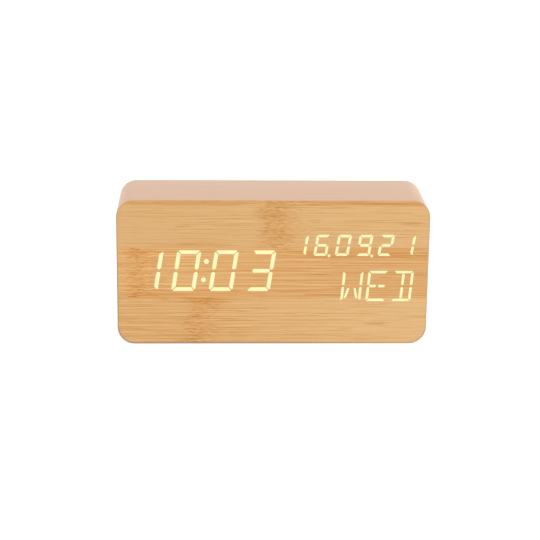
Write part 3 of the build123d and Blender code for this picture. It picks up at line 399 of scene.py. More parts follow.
def bamboo_group():
    """One bamboo strip, drawn in millimetres. Its lines are noise drawn out along the grain. Around the
    knuckle the fibres sway across the grain, and its trunk turns brown in blotches. A seam darkens the
    strip's lower and upper edge."""
    numbers = ("Along", "Across", "Height", "Seed", "Knuckle", "Reach", "Lines", "Lines Right", "Dashes")
    inputs = {**dict.fromkeys(numbers, "Float"), "Left": "Color", "Right": "Color"}
    tree, given, result = surface_group("bamboo_strip", inputs)
    along, across = given["Along"], given["Across"]

    trunk, around = knuckle_shares(tree, given)
    sway = calc(tree, "MULTIPLY", swing(tree, given, FIBRE_SWAY, SWAY_MM), around)
    fibre = calc(tree, "ADD", across, sway)
    fine = thin_lines(tree, given, FINE_LINES, fibre)
    patch = remap(tree, layer(tree, given, LIVELY_PATCHES, across), *PATCH_EDGE, *PATCH_GAIN)
    ends = remap(tree, along, -FADE_MM, FADE_MM)
    amount = calc(tree, "MULTIPLY", between(tree, ends, given["Lines"], given["Lines Right"]), patch)
    clear = clear_tone(tree, given, fibre, fine, amount, around)
    base = mixed(tree, ends, given["Left"], given["Right"])
    colour = mixed(tree, clear, tinted(tree, base, DARK_LINE), tinted(tree, base, PALE_LINE))

    blotch = remap(tree, layer(tree, given, BLOTCHES, fibre), *BLOTCH_EDGE)
    brown = calc(tree, "MULTIPLY", trunk, calc(tree, "MULTIPLY_ADD", blotch, BLOTCH_BROWN, TRUNK_BROWN))
    brown = calc(tree, "MAXIMUM", brown, calc(tree, "MULTIPLY", around, SWAY_BROWN))
    colour = mixed(tree, brown, colour, tinted(tree, colour, BROWN))
    marks = dark_marks(tree, given, fibre, around, patch)
    colour = mixed(tree, marks, colour, tinted(tree, colour, MARK_TINT))
    edge = calc(tree, "MINIMUM", across, calc(tree, "SUBTRACT", given["Height"], across))
    seam = remap(tree, edge, *SEAM_MM, SEAM_BROWN, 0.0)
    colour = mixed(tree, seam, colour, tinted(tree, base, SEAM_TINT))

    dull = calc(tree, "MULTIPLY_ADD", clear, PALE_GLOSS, WOOD_DULL)
    put_out(tree, result, colour, calc(tree, "SUBTRACT", fine, marks), dull)
    return tree


def stain_group():
    """A browner patch along the grain: one inside an ellipse whose edge each fibre shifts by its own
    noise."""
    fibre_mm = (16.0, 0.8)
    core, rags, edge = 0.2, 1.6, (-0.2, 0.5)
    inputs = dict.fromkeys(("Along", "Across", "Length", "Height", "Seed"), "Float")
    tree, given, result = new_group("stain_patch", inputs, {"Mask": "Float"})
    u = calc(tree, "DIVIDE", given["Along"], given["Length"])
    v = calc(tree, "DIVIDE", given["Across"], given["Height"])
    off = calc(tree, "SQRT", calc(tree, "MULTIPLY_ADD", u, u, calc(tree, "MULTIPLY", v, v)))
    ragged = streaks(tree, given["Along"], given["Across"], given["Seed"], *fibre_mm)
    reach = calc(tree, "MULTIPLY_ADD", ragged, rags, calc(tree, "SUBTRACT", core, off))
    tree.links.new(remap(tree, reach, *edge), result["Mask"])
    return tree


def outline_group():
    """How far a place lies inside a rectangle with rounded corners: the corner radius less the length of
    what reaches past the corner centres, in millimetres."""
    inputs = dict.fromkeys(("Across", "Up", "Half Width", "Half Height", "Radius"), "Float")
    tree, given, result = new_group("inside_outline", inputs, {"Distance": "Float"})
    past = []
    for place, half in (("Across", "Half Width"), ("Up", "Half Height")):
        centre = calc(tree, "SUBTRACT", given[half], given["Radius"])
        past.append(calc(tree, "SUBTRACT", calc(tree, "ABSOLUTE", given[place]), centre))
    u, v = [calc(tree, "MAXIMUM", p, 0.0) for p in past]
    reach = calc(tree, "SQRT", calc(tree, "MULTIPLY_ADD", u, u, calc(tree, "MULTIPLY", v, v)))
    inner = calc(tree, "MINIMUM", calc(tree, "MAXIMUM", *past), 0.0)
    signed = calc(tree, "SUBTRACT", given["Radius"], calc(tree, "ADD", reach, inner))
    tree.links.new(signed, result["Distance"])
    return tree


def moulded_group():
    """A spark-eroded mould's skin: smooth cells of one size under finer noise, with slow changes of tone
    and of gloss, and a few paler scuffs."""
    tone_mm, rub_mm = (14.0, 14.0, 14.0), (0.5, 6.0, 3.0)
    dark, pale, scuffed = grey(0.82), grey(1.2), grey(0.16)
    rubbed, worn_parts = (0.66, 0.80), (0.5, 0.7)
    scuff_share, pit_share = 0.25, 0.6
    cell_dull, slow_dull, least_dull = 0.22, 0.16, 0.36
    inputs = {"Place": "Vector", "Size": "Float", "Color": "Color", "Seed": "Float"}
    tree, given, result = surface_group("moulded_skin", inputs)
    moved = vector(tree, "ADD", given["Place"], given["Seed"])
    near = vector(tree, "DIVIDE", moved, given["Size"])
    domes = tiles(tree, near, feature="SMOOTH_F1")
    pits = noise(tree, near, detail=3.0, roughness=0.6)
    slow = noise(tree, vector(tree, "DIVIDE", moved, tone_mm), detail=3.0)
    rub = noise(tree, vector(tree, "DIVIDE", moved, rub_mm), detail=3.0, roughness=0.6)
    scuff = calc(tree, "MULTIPLY", remap(tree, rub, *rubbed), remap(tree, slow, *worn_parts))
    colour = mixed(tree, slow, tinted(tree, given["Color"], dark), tinted(tree, given["Color"], pale))
    colour = mixed(tree, calc(tree, "MULTIPLY", scuff, scuff_share), colour, scuffed)
    relief = calc(tree, "ADD", domes, calc(tree, "MULTIPLY", pits, pit_share))
    dull = calc(tree, "MULTIPLY_ADD", slow, slow_dull, least_dull)
    put_out(tree, result, colour, relief, calc(tree, "MULTIPLY_ADD", domes, cell_dull, dull))
    return tree


def drawn_metal_group():
    """Rolled or drawn metal: fine lines along one axis and slow clouds in its gloss."""
    cloud_mm = (4.0, 4.0, 4.0)
    dark, pale, line_tint = grey(0.80), grey(1.12), grey(0.7)
    line_share, line_dull, cloud_dull = 0.3, 0.25, 0.15
    inputs = {"Place": "Vector", "Stretch": "Vector", "Color": "Color", "Dull": "Float"}
    tree, given, result = surface_group("drawn_metal", inputs)
    lines = noise(tree, vector(tree, "DIVIDE", given["Place"], given["Stretch"]), detail=3.0, roughness=0.6)
    clouds = noise(tree, vector(tree, "DIVIDE", given["Place"], cloud_mm), detail=3.0)
    tone = mixed(tree, clouds, tinted(tree, given["Color"], dark), tinted(tree, given["Color"], pale))
    lined = tinted(tree, given["Color"], line_tint)
    colour = mixed(tree, calc(tree, "MULTIPLY", lines, line_share), tone, lined)
    dull = calc(tree, "MULTIPLY_ADD", lines, line_dull, calc(tree, "MULTIPLY", clouds, cloud_dull))
    put_out(tree, result, colour, lines, calc(tree, "ADD", given["Dull"], dull))
    return tree


BAMBOO = bamboo_group()
STAINED = stain_group()
OUTLINE = outline_group()
MOULDED = moulded_group()
METAL = drawn_metal_group()


# Wood finishes


def strip_pattern(tree, along, across, strip):
    """One strip of bamboo, with its place measured from its lower edge."""
    values = {
        "Along": along, "Across": calc(tree, "SUBTRACT", across, strip.low),
        "Height": strip.high - strip.low, "Seed": strip.seed,
        "Left": (*strip.left, 1.0), "Right": (*strip.right, 1.0),
        "Knuckle": strip.knuckle, "Reach": strip.reach,
        "Lines": strip.lines, "Lines Right": strip.lines_right, "Dashes": strip.dashes,
    }
    return add(tree, "Group", values, node_tree=BAMBOO).outputs


def stacked_strips(tree, along, across, strips):
    """Strips glued edge to edge: the next one takes over above its lower edge."""
    first = strip_pattern(tree, along, across, strips[0])
    colour, relief, roughness = first["Color"], first["Relief"], first["Roughness"]
    for strip in strips[1:]:
        upper = strip_pattern(tree, along, across, strip)
        above = calc(tree, "GREATER_THAN", across, strip.low)
        colour = mixed(tree, above, colour, upper["Color"])
        relief = between(tree, above, relief, upper["Relief"])
        roughness = between(tree, above, roughness, upper["Roughness"])
    return colour, relief, roughness


def inside_case(tree, x, z):
    """How far a place lies inside the case's outline, seen from the front."""
    sizes = {
        "Across": x, "Up": calc(tree, "SUBTRACT", z, HALF_HEIGHT_MM), "Half Width": HALF_WIDTH_MM,
        "Half Height": HALF_HEIGHT_MM, "Radius": CORNER_RADIUS_MM,
    }
    return add(tree, "Group", sizes, node_tree=OUTLINE).outputs[0]


def face_pattern(tree, x, z):
    """The face's three strips and their browner patches."""
    colour, relief, roughness = stacked_strips(tree, x, z, FACE_STRIPS)
    for number, stain in enumerate(FACE_STAINS):
        place = {
            "Along": calc(tree, "SUBTRACT", x, stain.x), "Across": calc(tree, "SUBTRACT", z, stain.z),
            "Length": stain.length, "Height": stain.height, "Seed": STAIN_SEED + STAIN_SEED_STEP * number,
        }
        mask = add(tree, "Group", place, node_tree=STAINED).outputs[0]
        share = calc(tree, "MULTIPLY", mask, stain.strength)
        colour = mixed(tree, share, colour, tinted(tree, colour, BROWN))
    return colour, relief, roughness


def face_bamboo():
    """The face's sheet, with its grain barely raised."""
    material, tree, shader = new_material("face_bamboo", Specular_IOR_Level=0.4)
    _, x, _, z = place_mm(tree)
    colour, relief, roughness = face_pattern(tree, x, z)
    feed(tree, shader, colour, roughness)
    emboss(tree, shader, relief, depth_mm=0.06, strength=0.12)
    return material


def rear_bamboo():
    """The rear frame, cut from two strips, with darker edges."""
    edge_mm, edge_share = (0.0, 1.2), 0.4
    material, tree, shader = new_material("rear_bamboo", Specular_IOR_Level=0.4)
    _, x, _, z = place_mm(tree)
    colour, relief, roughness = stacked_strips(tree, x, z, REAR_STRIPS)
    edge = remap(tree, inside_case(tree, x, z), *edge_mm, edge_share, 0.0)
    feed(tree, shader, mixed(tree, edge, colour, RIM_SHADE), roughness)
    emboss(tree, shader, relief, depth_mm=0.06, strength=0.35)
    return material


def lapped_rim(tree, x, y, z, colour):
    """The wrapped sheet's colour with the face's sheet lapping over its cut edge. The lap and its line are
    drawn by how far a place lies inside the case's outline, less the width that the lap leaves bare. The line
    is the joint, with painted shade that widens it by the foot and fades it up and to the right."""
    front = remap(tree, y, FRONT_MM + RIM_DEPTH_MM[0], FRONT_MM + RIM_DEPTH_MM[1], 1.0, 0.0)
    bare = remap(tree, z, *BARE_CHANGE_MM, SIDE_BARE_MM, TOP_BARE_MM)
    past = calc(tree, "SUBTRACT", inside_case(tree, x, z), bare)
    lapped = calc(tree, "MULTIPLY", front, remap(tree, past, -LAP_EDGE_MM, LAP_EDGE_MM))
    colour = mixed(tree, lapped, colour, face_pattern(tree, x, z)[0])
    # Painted shade: the line is wider by the foot.
    foot_shade_widening = remap(tree, z, *FOOT_SHADE_RANGE_MM, FOOT_SHADE_WIDENING_MM, 0.0)
    off = calc(tree, "SUBTRACT", calc(tree, "ABSOLUTE", past), foot_shade_widening)
    # Painted shade: the line fades up and to the right.
    painted_shade_fade = remap(tree, calc(tree, "MULTIPLY_ADD", z, PAINTED_SHADE_FADE_RISE, x), *PAINTED_SHADE_FADE_MM, *PAINTED_SHADE_FADE_LEVELS)
    line = calc(tree, "MULTIPLY", remap(tree, off, *RIM_LINE_MM, 1.0, 0.0), painted_shade_fade)
    return mixed(tree, calc(tree, "MULTIPLY", front, line), colour, RIM_SHADE)


def side_bamboo():
    """The wrapped sheet, a little paler to the rear. Its grain runs round the case: x plus z follows it along
    the top and down the sides."""
    rear_tint, tint_mm = (1.02, 1.06, 1.12), 18.0
    material, tree, shader = new_material("side_bamboo", Specular_IOR_Level=0.5)
    _, x, y, z = place_mm(tree)
    pattern = strip_pattern(tree, calc(tree, "ADD", x, z), y, SIDE_STRIP)
    paler = tinted(tree, pattern["Color"], rear_tint)
    colour = mixed(tree, remap(tree, y, -tint_mm, tint_mm), pattern["Color"], paler)
    feed(tree, shader, lapped_rim(tree, x, y, z, colour), pattern["Roughness"])
    emboss(tree, shader, pattern["Relief"], depth_mm=0.04, strength=0.25)
    return material


def fibreboard():
    """Raw milled board: pale and dark fibres pressed at random, a little furry."""
    fleck_mm, cloud_mm = (0.35, 0.5, 0.35), (6.0, 6.0, 6.0)
    dark, pale, cloudy = (0.34, 0.21, 0.11), (0.62, 0.45, 0.28), (0.48, 0.33, 0.19)
    cloud_share, furry, dull = 0.4, (0.2, 0.8), (0.75, 0.95)
    material, tree, shader = new_material("fibreboard", Specular_IOR_Level=0.2)
    place, *_ = place_mm(tree)
    flecks = noise(tree, vector(tree, "DIVIDE", place, fleck_mm), detail=4.0, roughness=0.65)
    clouds = noise(tree, vector(tree, "DIVIDE", place, cloud_mm))
    colour = mixed(tree, remap(tree, flecks, *NOISE_SPAN), dark, pale)
    colour = mixed(tree, calc(tree, "MULTIPLY", clouds, cloud_share), colour, cloudy)
    feed(tree, shader, colour, remap(tree, flecks, *furry, *dull))
    emboss(tree, shader, flecks, depth_mm=0.08, strength=0.5)
    return material


# Display finishes


def lit_fill():
    """A lit stroke: cream light through the sheet, with the faint shadow of its fibres."""
    pale_cream, cream = (0.990, 0.955, 0.535), (0.985, 0.925, 0.490)
    dark, less_dark = (0.010, 0.009, 0.006), (0.016, 0.014, 0.008)
    shadow, dull = (0.35, 0.75), (0.45, 0.6)
    material, tree, shader = new_material("lit_fill", Emission_Strength=1.0, Specular_IOR_Level=0.1)
    _, x, _, z = place_mm(tree)
    veil = streaks(tree, x, z, seed=5.5, along=9.0, across=0.5, detail=3.0)
    glow = mixed(tree, remap(tree, veil, *shadow), pale_cream, cream)
    tree.links.new(glow, shader.inputs["Emission Color"])
    feed(tree, shader, mixed(tree, veil, dark, less_dark), remap(tree, veil, *NOISE_SPAN, *dull))
    return material


def unlit_fill():
    """A stroke that stays dark: milky resin."""
    dark, pale, dull = (0.70, 0.67, 0.58), (0.84, 0.82, 0.74), (0.4, 0.6)
    material, tree, shader = new_material("unlit_fill")
    place, *_ = place_mm(tree)
    milk = noise(tree, place, detail=3.0)
    feed(tree, shader, mixed(tree, milk, dark, pale), remap(tree, milk, *NOISE_SPAN, *dull))
    return material


def diode():
    """A clear chip with small yellow spots of phosphor."""
    resin, phosphor = (0.86, 0.82, 0.60), (0.88, 0.66, 0.16)
    spot_mm, spot_edge, dull = (0.3, 0.3, 0.3), (0.4, 0.6), (0.2, 0.35)
    material, tree, shader = new_material("diode")
    place, *_ = place_mm(tree)
    spots = noise(tree, vector(tree, "DIVIDE", place, spot_mm))
    colour = mixed(tree, remap(tree, spots, *spot_edge), resin, phosphor)
    feed(tree, shader, colour, remap(tree, spots, *NOISE_SPAN, *dull))
    return material


# Moulded finishes


def moulded(name, colour, cells_mm, seed, depth_mm=0.05, strength=0.7):
    """A moulded plastic with a skin of cells so large."""
    material, tree, shader = new_material(name)
    place, *_ = place_mm(tree)
    values = {"Place": place, "Size": cells_mm, "Color": (*colour, 1.0), "Seed": seed}
    skin = add(tree, "Group", values, node_tree=MOULDED).outputs
    feed(tree, shader, skin["Color"], skin["Roughness"])
    emboss(tree, shader, skin["Relief"], depth_mm, strength)
    return material


def wire_sleeve(name, colour, seed):
    """Soft insulation with slow changes of tone and gloss."""
    return moulded(name, colour, cells_mm=0.9, seed=seed, depth_mm=0.02, strength=0.3)


def ribbon_grey():
    """A flat cable: one ridge for each wire across its width, the first one marked red. The grooves between
    the ridges are darker: painted shade.
    """
    wires, groove_shade_span = 8, (0.0, 0.2)
    groove_shade_grey, pale_grey = (0.18, 0.18, 0.19), (0.47, 0.47, 0.48)
    groove_shade_red, pale_red = (0.20, 0.02, 0.02), (0.52, 0.05, 0.04)
    low, high = RIBBON_LOW.x / MM, RIBBON_HIGH.x / MM
    material, tree, shader = new_material("ribbon_grey", Roughness=0.45)
    _, x, *_ = place_mm(tree)
    wire = calc(tree, "MULTIPLY", calc(tree, "SUBTRACT", x, low), wires / (high - low))
    ridge = calc(tree, "PINGPONG", wire, 0.5)
    # Painted shade: the colour darkens into the grooves between the wires.
    plain = mixed(tree, remap(tree, ridge, *groove_shade_span), groove_shade_grey, pale_grey)
    red = mixed(tree, remap(tree, ridge, *groove_shade_span), groove_shade_red, pale_red)
    feed(tree, shader, mixed(tree, calc(tree, "LESS_THAN", wire, 1.0), plain, red))
    emboss(tree, shader, ridge, depth_mm=0.3, strength=0.8)
    return material


def board_green():
    """A circuit board: lanes of copper show paler under the green, with tinned pads between them."""
    lane_x_mm, lane_z_mm = 3.2, 2.4
    lane_edge, pad_reach, dull = (0.05, 0.09), 0.12, (0.42, 0.32)
    green, copper_green, tin = (0.012, 0.105, 0.045), (0.035, 0.235, 0.090), (0.62, 0.60, 0.56)
    material, tree, shader = new_material("board_green")
    _, x, _, z = place_mm(tree)
    place = spot(tree, calc(tree, "DIVIDE", x, lane_x_mm), calc(tree, "DIVIDE", z, lane_z_mm), 0.0)
    track = remap(tree, tiles(tree, place, feature="DISTANCE_TO_EDGE"), *lane_edge, 1.0, 0.0)
    pad = calc(tree, "LESS_THAN", tiles(tree, place, distance="CHEBYCHEV"), pad_reach)
    colour = mixed(tree, pad, mixed(tree, track, green, copper_green), tin)
    feed(tree, shader, colour, remap(tree, track, 0.0, 1.0, *dull))
    emboss(tree, shader, calc(tree, "ADD", track, pad), depth_mm=0.04, strength=0.6)
    return material


# Metal finishes


def metal(name, colour, stretch, dull):
    """A metal drawn along the axis that the stretch names with its largest value."""
    material, tree, shader = new_material(name, Metallic=1.0)
    place, *_ = place_mm(tree)
    values = {"Place": place, "Stretch": stretch, "Color": (*colour, 1.0), "Dull": dull}
    pattern = add(tree, "Group", values, node_tree=METAL).outputs
    feed(tree, shader, pattern["Color"], pattern["Roughness"])
    emboss(tree, shader, pattern["Relief"], depth_mm=0.01, strength=0.4)
    return material


def bar(tree, first, first_half, second, second_half):
    """One inside a bar: where two distances from its middle are both less than its halves."""
    inside = calc(tree, "LESS_THAN", first, first_half)
    return calc(tree, "MULTIPLY", inside, calc(tree, "LESS_THAN", second, second_half))


def cell_jacket():
    """Battery cells that lie in turn to the right and left. The place along a cell counts from the bay's
    middle towards its nub, so that one pattern serves them all: a slate jacket with a pale band and a plus
    by the nub, a minus at the other end, and bare steel at both ends."""
    slate, pale_slate, pale_sign = (0.030, 0.045, 0.058), (0.052, 0.070, 0.086), (0.55, 0.57, 0.58)
    band, pale_band, steel = (0.50, 0.52, 0.53), (0.62, 0.64, 0.65), (0.66, 0.65, 0.62)
    grain_mm, dull = (1.5, 0.4, 0.4), (0.28, 0.42)
    middle_x = (CELLS_LOW.x + CELLS_HIGH.x) / 2 / MM
    middle_z = (CELLS_LOW.z + CELLS_HIGH.z) / 2 / MM
    end = (CELLS_HIGH.x - CELLS_LOW.x) / 2 / MM
    foot = end - CELL_LENGTH_MM
    material, tree, shader = new_material("cell_jacket")
    place, x, _, z = place_mm(tree)
    up = calc(tree, "SUBTRACT", z, middle_z)
    row = calc(tree, "ROUND", calc(tree, "DIVIDE", up, CELL_PITCH_MM))
    pole = calc(tree, "MULTIPLY_ADD", calc(tree, "ABSOLUTE", row), 2.0, -1.0)
    along = calc(tree, "MULTIPLY", calc(tree, "SUBTRACT", x, middle_x), pole)
    side = calc(tree, "ABSOLUTE", calc(tree, "SUBTRACT", up, calc(tree, "MULTIPLY", row, CELL_PITCH_MM)))

    grain = noise(tree, vector(tree, "DIVIDE", place, grain_mm), detail=3.0)
    banded = remap(tree, along, end - CELL_BAND_MM - PRINT_EDGE_MM, end - CELL_BAND_MM)
    jacket, ring = mixed(tree, grain, slate, pale_slate), mixed(tree, grain, band, pale_band)
    colour = mixed(tree, banded, jacket, ring)
    by_plus = calc(tree, "ABSOLUTE", calc(tree, "SUBTRACT", along, end - CELL_PLUS_MM))
    by_minus = calc(tree, "ABSOLUTE", calc(tree, "SUBTRACT", along, foot + CELL_MINUS_MM))
    level = bar(tree, by_plus, SIGN_HALF_LENGTH_MM, side, SIGN_HALF_WIDTH_MM)
    upright = bar(tree, by_plus, SIGN_HALF_WIDTH_MM, side, SIGN_HALF_LENGTH_MM)
    colour = mixed(tree, calc(tree, "MAXIMUM", level, upright), colour, slate)
    minus = bar(tree, by_minus, SIGN_HALF_LENGTH_MM, side, SIGN_HALF_WIDTH_MM)
    colour = mixed(tree, minus, colour, pale_sign)

    at_nub = calc(tree, "GREATER_THAN", along, end - CELL_NUB_MM)
    bare = calc(tree, "MAXIMUM", at_nub, calc(tree, "LESS_THAN", along, foot + CELL_RIM_MM))
    tree.links.new(bare, shader.inputs["Metallic"])
    feed(tree, shader, mixed(tree, bare, colour, steel), remap(tree, grain, *NOISE_SPAN, *dull))
    emboss(tree, shader, grain, depth_mm=0.01, strength=0.3)
    return material


# Each material slot of the record with its finish
FINISHES = {
    "fibreboard": fibreboard(),
    "face_bamboo": face_bamboo(),
    "side_bamboo": side_bamboo(),
    "rear_bamboo": rear_bamboo(),
    "frame_black": moulded("frame_black", grey(0.020), cells_mm=0.5, seed=1.0),
    "lit_fill": lit_fill(),
    "unlit_fill": unlit_fill(),
    "diode": diode(),
    "board_green": board_green(),
    "screw_steel": metal("screw_steel", (0.62, 0.62, 0.64), stretch=(0.4, 0.4, 0.4), dull=0.18),
    "screw_black": metal("screw_black", (0.055, 0.055, 0.060), stretch=(0.4, 0.4, 0.4), dull=0.28),
    "chip_black": moulded("chip_black", grey(0.018), cells_mm=0.25, seed=2.0),
    "can_metal": metal("can_metal", (0.74, 0.74, 0.75), stretch=(0.5, 6.0, 0.5), dull=0.2),
    "cover_black": moulded("cover_black", (0.017, 0.017, 0.018), cells_mm=0.42, seed=3.0),
    "door_black": moulded("door_black", (0.018, 0.018, 0.019), cells_mm=0.42, seed=8.0),
    "button_black": moulded("button_black", (0.024, 0.024, 0.026), cells_mm=0.25, seed=12.0, depth_mm=0.012),
    "plunger_dark": moulded("plunger_dark", grey(0.045), cells_mm=0.4, seed=15.0),
    "switch_black": moulded("switch_black", grey(0.028), cells_mm=0.4, seed=18.0),
    "cell_jacket": cell_jacket(),
    "nickel": metal("nickel", (0.70, 0.68, 0.64), stretch=(0.15, 5.0, 0.15), dull=0.16),
    "spring_steel": metal("spring_steel", grey(0.68), stretch=(0.3, 0.3, 0.3), dull=0.2),
    "lead_red": wire_sleeve("lead_red", (0.42, 0.018, 0.015), seed=21.0),
    "lead_black": wire_sleeve("lead_black", grey(0.018), seed=24.0),
    "ribbon_grey": ribbon_grey(),
    "socket_black": moulded("socket_black", grey(0.022), cells_mm=0.3, seed=27.0),
    "pin_metal": metal("pin_metal", (0.72, 0.70, 0.66), stretch=(0.2, 4.0, 0.2), dull=0.15),
    "buzzer_brass": metal("buzzer_brass", (0.72, 0.50, 0.20), stretch=(4.0, 0.3, 0.3), dull=0.2),
    "buzzer_white": moulded("buzzer_white", (0.72, 0.71, 0.67), cells_mm=0.5, seed=30.0, depth_mm=0.01),
}
MARK_WHITE = moulded("mark_white", (0.60, 0.60, 0.58), cells_mm=0.3, seed=33.0, depth_mm=0.006)

for subpart in frame["record"]["subparts"]:
    mesh = frame["nodes"][subpart["node"]].data
    mesh.materials.clear()
    mesh.materials.append(FINISHES[subpart["material_slot"]])


# New pieces


def grid_faces(rows, columns):
    """Quads over a grid of points that closes on itself along its columns."""
    i, j = np.meshgrid(np.arange(rows - 1), np.arange(columns), indexing="ij")
    k = (j + 1) % columns
    corners = [i * columns + j, i * columns + k, (i + 1) * columns + k, (i + 1) * columns + j]
    return np.stack(corners, axis=-1).reshape(-1, 4)


def grid_piece(name, points, body, material):
    """A mesh piece from a grid of points, riding on a body, with its doubled points merged."""
    rows, columns, _ = points.shape
    mesh = bpy.data.meshes.new(name)
    mesh.from_pydata(points.reshape(-1, 3).tolist(), [], grid_faces(rows, columns).tolist())
    piece = bpy.data.objects.new(name, mesh)
    bpy.context.scene.collection.objects.link(piece)
    merge = piece.modifiers.new("merge", "WELD")
    merge.merge_threshold = WELD_GAP
    mesh.polygons.foreach_set("use_smooth", np.ones(len(mesh.polygons), bool))
    mesh.materials.append(material)
    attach(piece, body)


def turned_points(reach, rise, centre, base_y):
    """Points round a centre on a face that looks along +Y: each profile point's reach, at its rise."""
    angle = np.linspace(0, 2 * np.pi, reach.shape[1], endpoint=False)
    x = centre[0] - reach * np.cos(angle)
    z = centre[1] + reach * np.sin(angle)
    y = np.broadcast_to(base_y + rise[:, None], x.shape)
    return np.stack([x, y, z], axis=-1)


def pad_points(radius, centre, base_y, height, round_share=0.6, steps=5):
    """A low pad whose outline is a radius for each angle. Its profile goes from the foot's middle out to the
    edge, up, over a quarter-circle round and back to the middle of the top: the reach is the outline's radius
    less the profile's inset."""
    turn = np.linspace(0, np.pi / 2, steps)
    edge = height * round_share
    inset = np.concatenate([[np.inf, 0.0], edge * (1 - np.cos(turn)), [np.inf]])
    rise = np.concatenate([[0.0, 0.0], height - edge + edge * np.sin(turn), [height]])
    reach = np.maximum(radius[None, :] - inset[:, None], 0.0)
    return turned_points(reach, rise, centre, base_y)


def triangle_outline(size, sharpness, turn, side_at=0.5, round_at=0.86, count=72):
    """The radius of a triangle with soft corners, for each angle: the flat sides' radius, one over the cosine
    from each side's middle, held down by a circle through a power mean."""
    angle = np.linspace(0, 2 * np.pi, count, endpoint=False) - turn
    third = 2 * np.pi / 3
    flat = side_at / np.cos((angle % third) - third / 2)
    return size * (flat ** -sharpness + round_at ** -sharpness) ** (-1 / sharpness)


def ring_points(radius, width, centre, base_y, height, fullness=0.6, steps=9, count=64):
    """A raised ring: a rounded profile, a power of the sine, from its outer foot over to its inner one and
    back below, carried round a circle."""
    turn = np.linspace(0, np.pi, steps)
    across = np.concatenate([np.cos(turn), [1.0]]) * width / 2
    rise = np.concatenate([np.sin(turn) ** fullness, [0.0]]) * height
    reach = np.repeat(radius + across[:, None], count, axis=1)
    return turned_points(reach, rise, centre, base_y)


def button_top(name):
    """The middle of a button's face, and the level at which its mark starts."""
    low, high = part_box(name + "_button")
    return ((low.x + high.x) / 2, (low.z + high.z) / 2), high.y - MARK_SEAT


def button_marks():
    """A ring on the setting button and a triangle each way on the other two."""
    points = ring_points(RING_RADIUS, RING_WIDTH, *button_top("set"), MARK_HEIGHT)
    grid_piece("set_mark", points, "set_key", MARK_WHITE)
    for name, turn in (("up", POINT_UP), ("down", POINT_DOWN)):
        outline = triangle_outline(MARK_SIZE, MARK_SHARPNESS, turn)
        points = pad_points(outline, *button_top(name), MARK_HEIGHT)
        grid_piece(name + "_mark", points, name + "_key", MARK_WHITE)


def door_arrow():
    """A moulded triangle under the grip ribs that shows which way the finger is pressed."""
    centre = ((DOOR_LOW.x + DOOR_HIGH.x) / 2, DOOR_HIGH.z - ARROW_DROP)
    outline = triangle_outline(ARROW_SIZE, ARROW_SHARPNESS, POINT_DOWN)
    points = pad_points(outline, centre, COVER_HIGH.y - MARK_SEAT, ARROW_HEIGHT)
    grid_piece("door_arrow", points, "door", FINISHES["door_black"])


button_marks()
door_arrow()


# The studio


def seen_share(tree):
    """One for what the camera sees straight, mirrored or through clear pieces, and zero for light."""
    path = add(tree, "LightPath").outputs
    seen = calc(tree, "MAXIMUM", path["Is Camera Ray"], path["Is Glossy Ray"])
    return calc(tree, "MAXIMUM", seen, path["Is Transmission Ray"])


def floor_white():
    """A pale floor that keeps the shadow. Seen straight or in a reflection, part of its white is its own."""
    material = bpy.data.materials.new("floor_white")
    material.use_nodes = True
    tree = material.node_tree
    tree.nodes.remove(tree.nodes["Principled BSDF"])
    diffuse = add(tree, "BsdfDiffuse", {"Color": (*grey(FLOOR_TONE), 1.0)})
    glow = calc(tree, "MULTIPLY", seen_share(tree), FLOOR_GLOW)
    own = add(tree, "Emission", {"Color": WHITE, "Strength": glow})
    both = add(tree, "AddShader", {0: diffuse.outputs[0], 1: own.outputs[0]})
    tree.links.new(both.outputs[0], tree.nodes["Material Output"].inputs["Surface"])
    return material


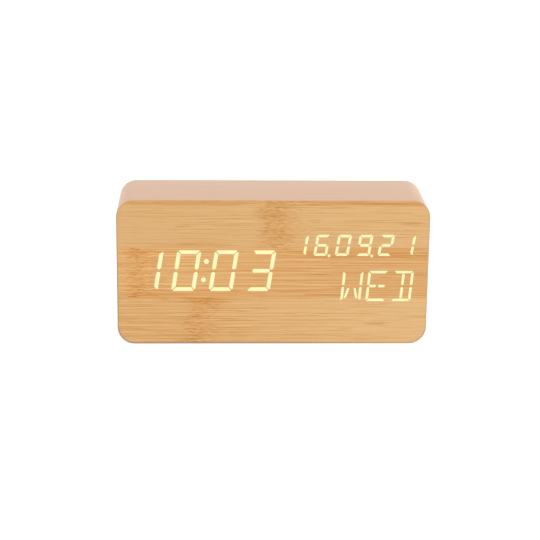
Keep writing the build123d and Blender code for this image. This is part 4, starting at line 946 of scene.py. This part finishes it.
def floor():
    """A wide level sheet just under the case."""
    signs = ((-1, -1), (1, -1), (1, 1), (-1, 1))
    corners = [(x * FLOOR_REACH, y * FLOOR_REACH, -FLOOR_DROP) for x, y in signs]
    mesh = bpy.data.meshes.new("floor")
    mesh.from_pydata(corners, [], [(0, 1, 2, 3)])
    mesh.materials.append(floor_white())
    sheet = bpy.data.objects.new("floor", mesh)
    bpy.context.scene.collection.objects.link(sheet)


def sky():
    """White surroundings: dimmer as light than as what is seen."""
    world = bpy.data.worlds.new("studio")
    world.use_nodes = True
    tree = world.node_tree
    tree.nodes.clear()
    light = add(tree, "Background", {"Color": WHITE, "Strength": SKY_LIGHT})
    seen = add(tree, "Background", {"Color": WHITE, "Strength": 1.0})
    both = add(tree, "MixShader", {0: seen_share(tree), 1: light.outputs[0], 2: seen.outputs[0]})
    tree.links.new(both.outputs[0], add(tree, "OutputWorld").inputs["Surface"])
    bpy.context.scene.world = world


def softbox(lamp):
    """A square area lamp at its place, turned to the clock's middle."""
    light = bpy.data.lights.new(lamp.name, "AREA")
    light.size = lamp.size
    light.energy = lamp.power
    holder = bpy.data.objects.new(lamp.name, light)
    holder.location = lamp.place
    holder.rotation_euler = (MIDDLE - Vector(lamp.place)).to_track_quat("-Z", "Y").to_euler()
    bpy.context.scene.collection.objects.link(holder)


def camera():
    """The fitted camera: forward from yaw and pitch, then rolled about it."""
    sin, cos = math.sin, math.cos
    ahead = cos(CAMERA_PITCH)
    forward = Vector((ahead * sin(CAMERA_YAW), ahead * cos(CAMERA_YAW), -sin(CAMERA_PITCH)))
    level = Vector((cos(CAMERA_YAW), -sin(CAMERA_YAW), 0.0))
    upward = level.cross(forward)
    right = cos(CAMERA_ROLL) * level - sin(CAMERA_ROLL) * upward
    top = sin(CAMERA_ROLL) * level + cos(CAMERA_ROLL) * upward
    data = bpy.data.cameras.new("camera")
    data.lens = CAMERA_LENS
    data.sensor_width = CAMERA_SENSOR
    data.clip_end = CAMERA_FAR
    holder = bpy.data.objects.new("camera", data)
    turn = Matrix((right, top, -forward)).transposed().to_4x4()
    holder.matrix_world = Matrix.Translation(CAMERA_PLACE) @ turn
    bpy.context.scene.collection.objects.link(holder)
    bpy.context.scene.camera = holder


floor()
sky()
for lamp in LAMPS:
    softbox(lamp)
camera()
bpy.context.scene.view_settings.view_transform = "Standard"
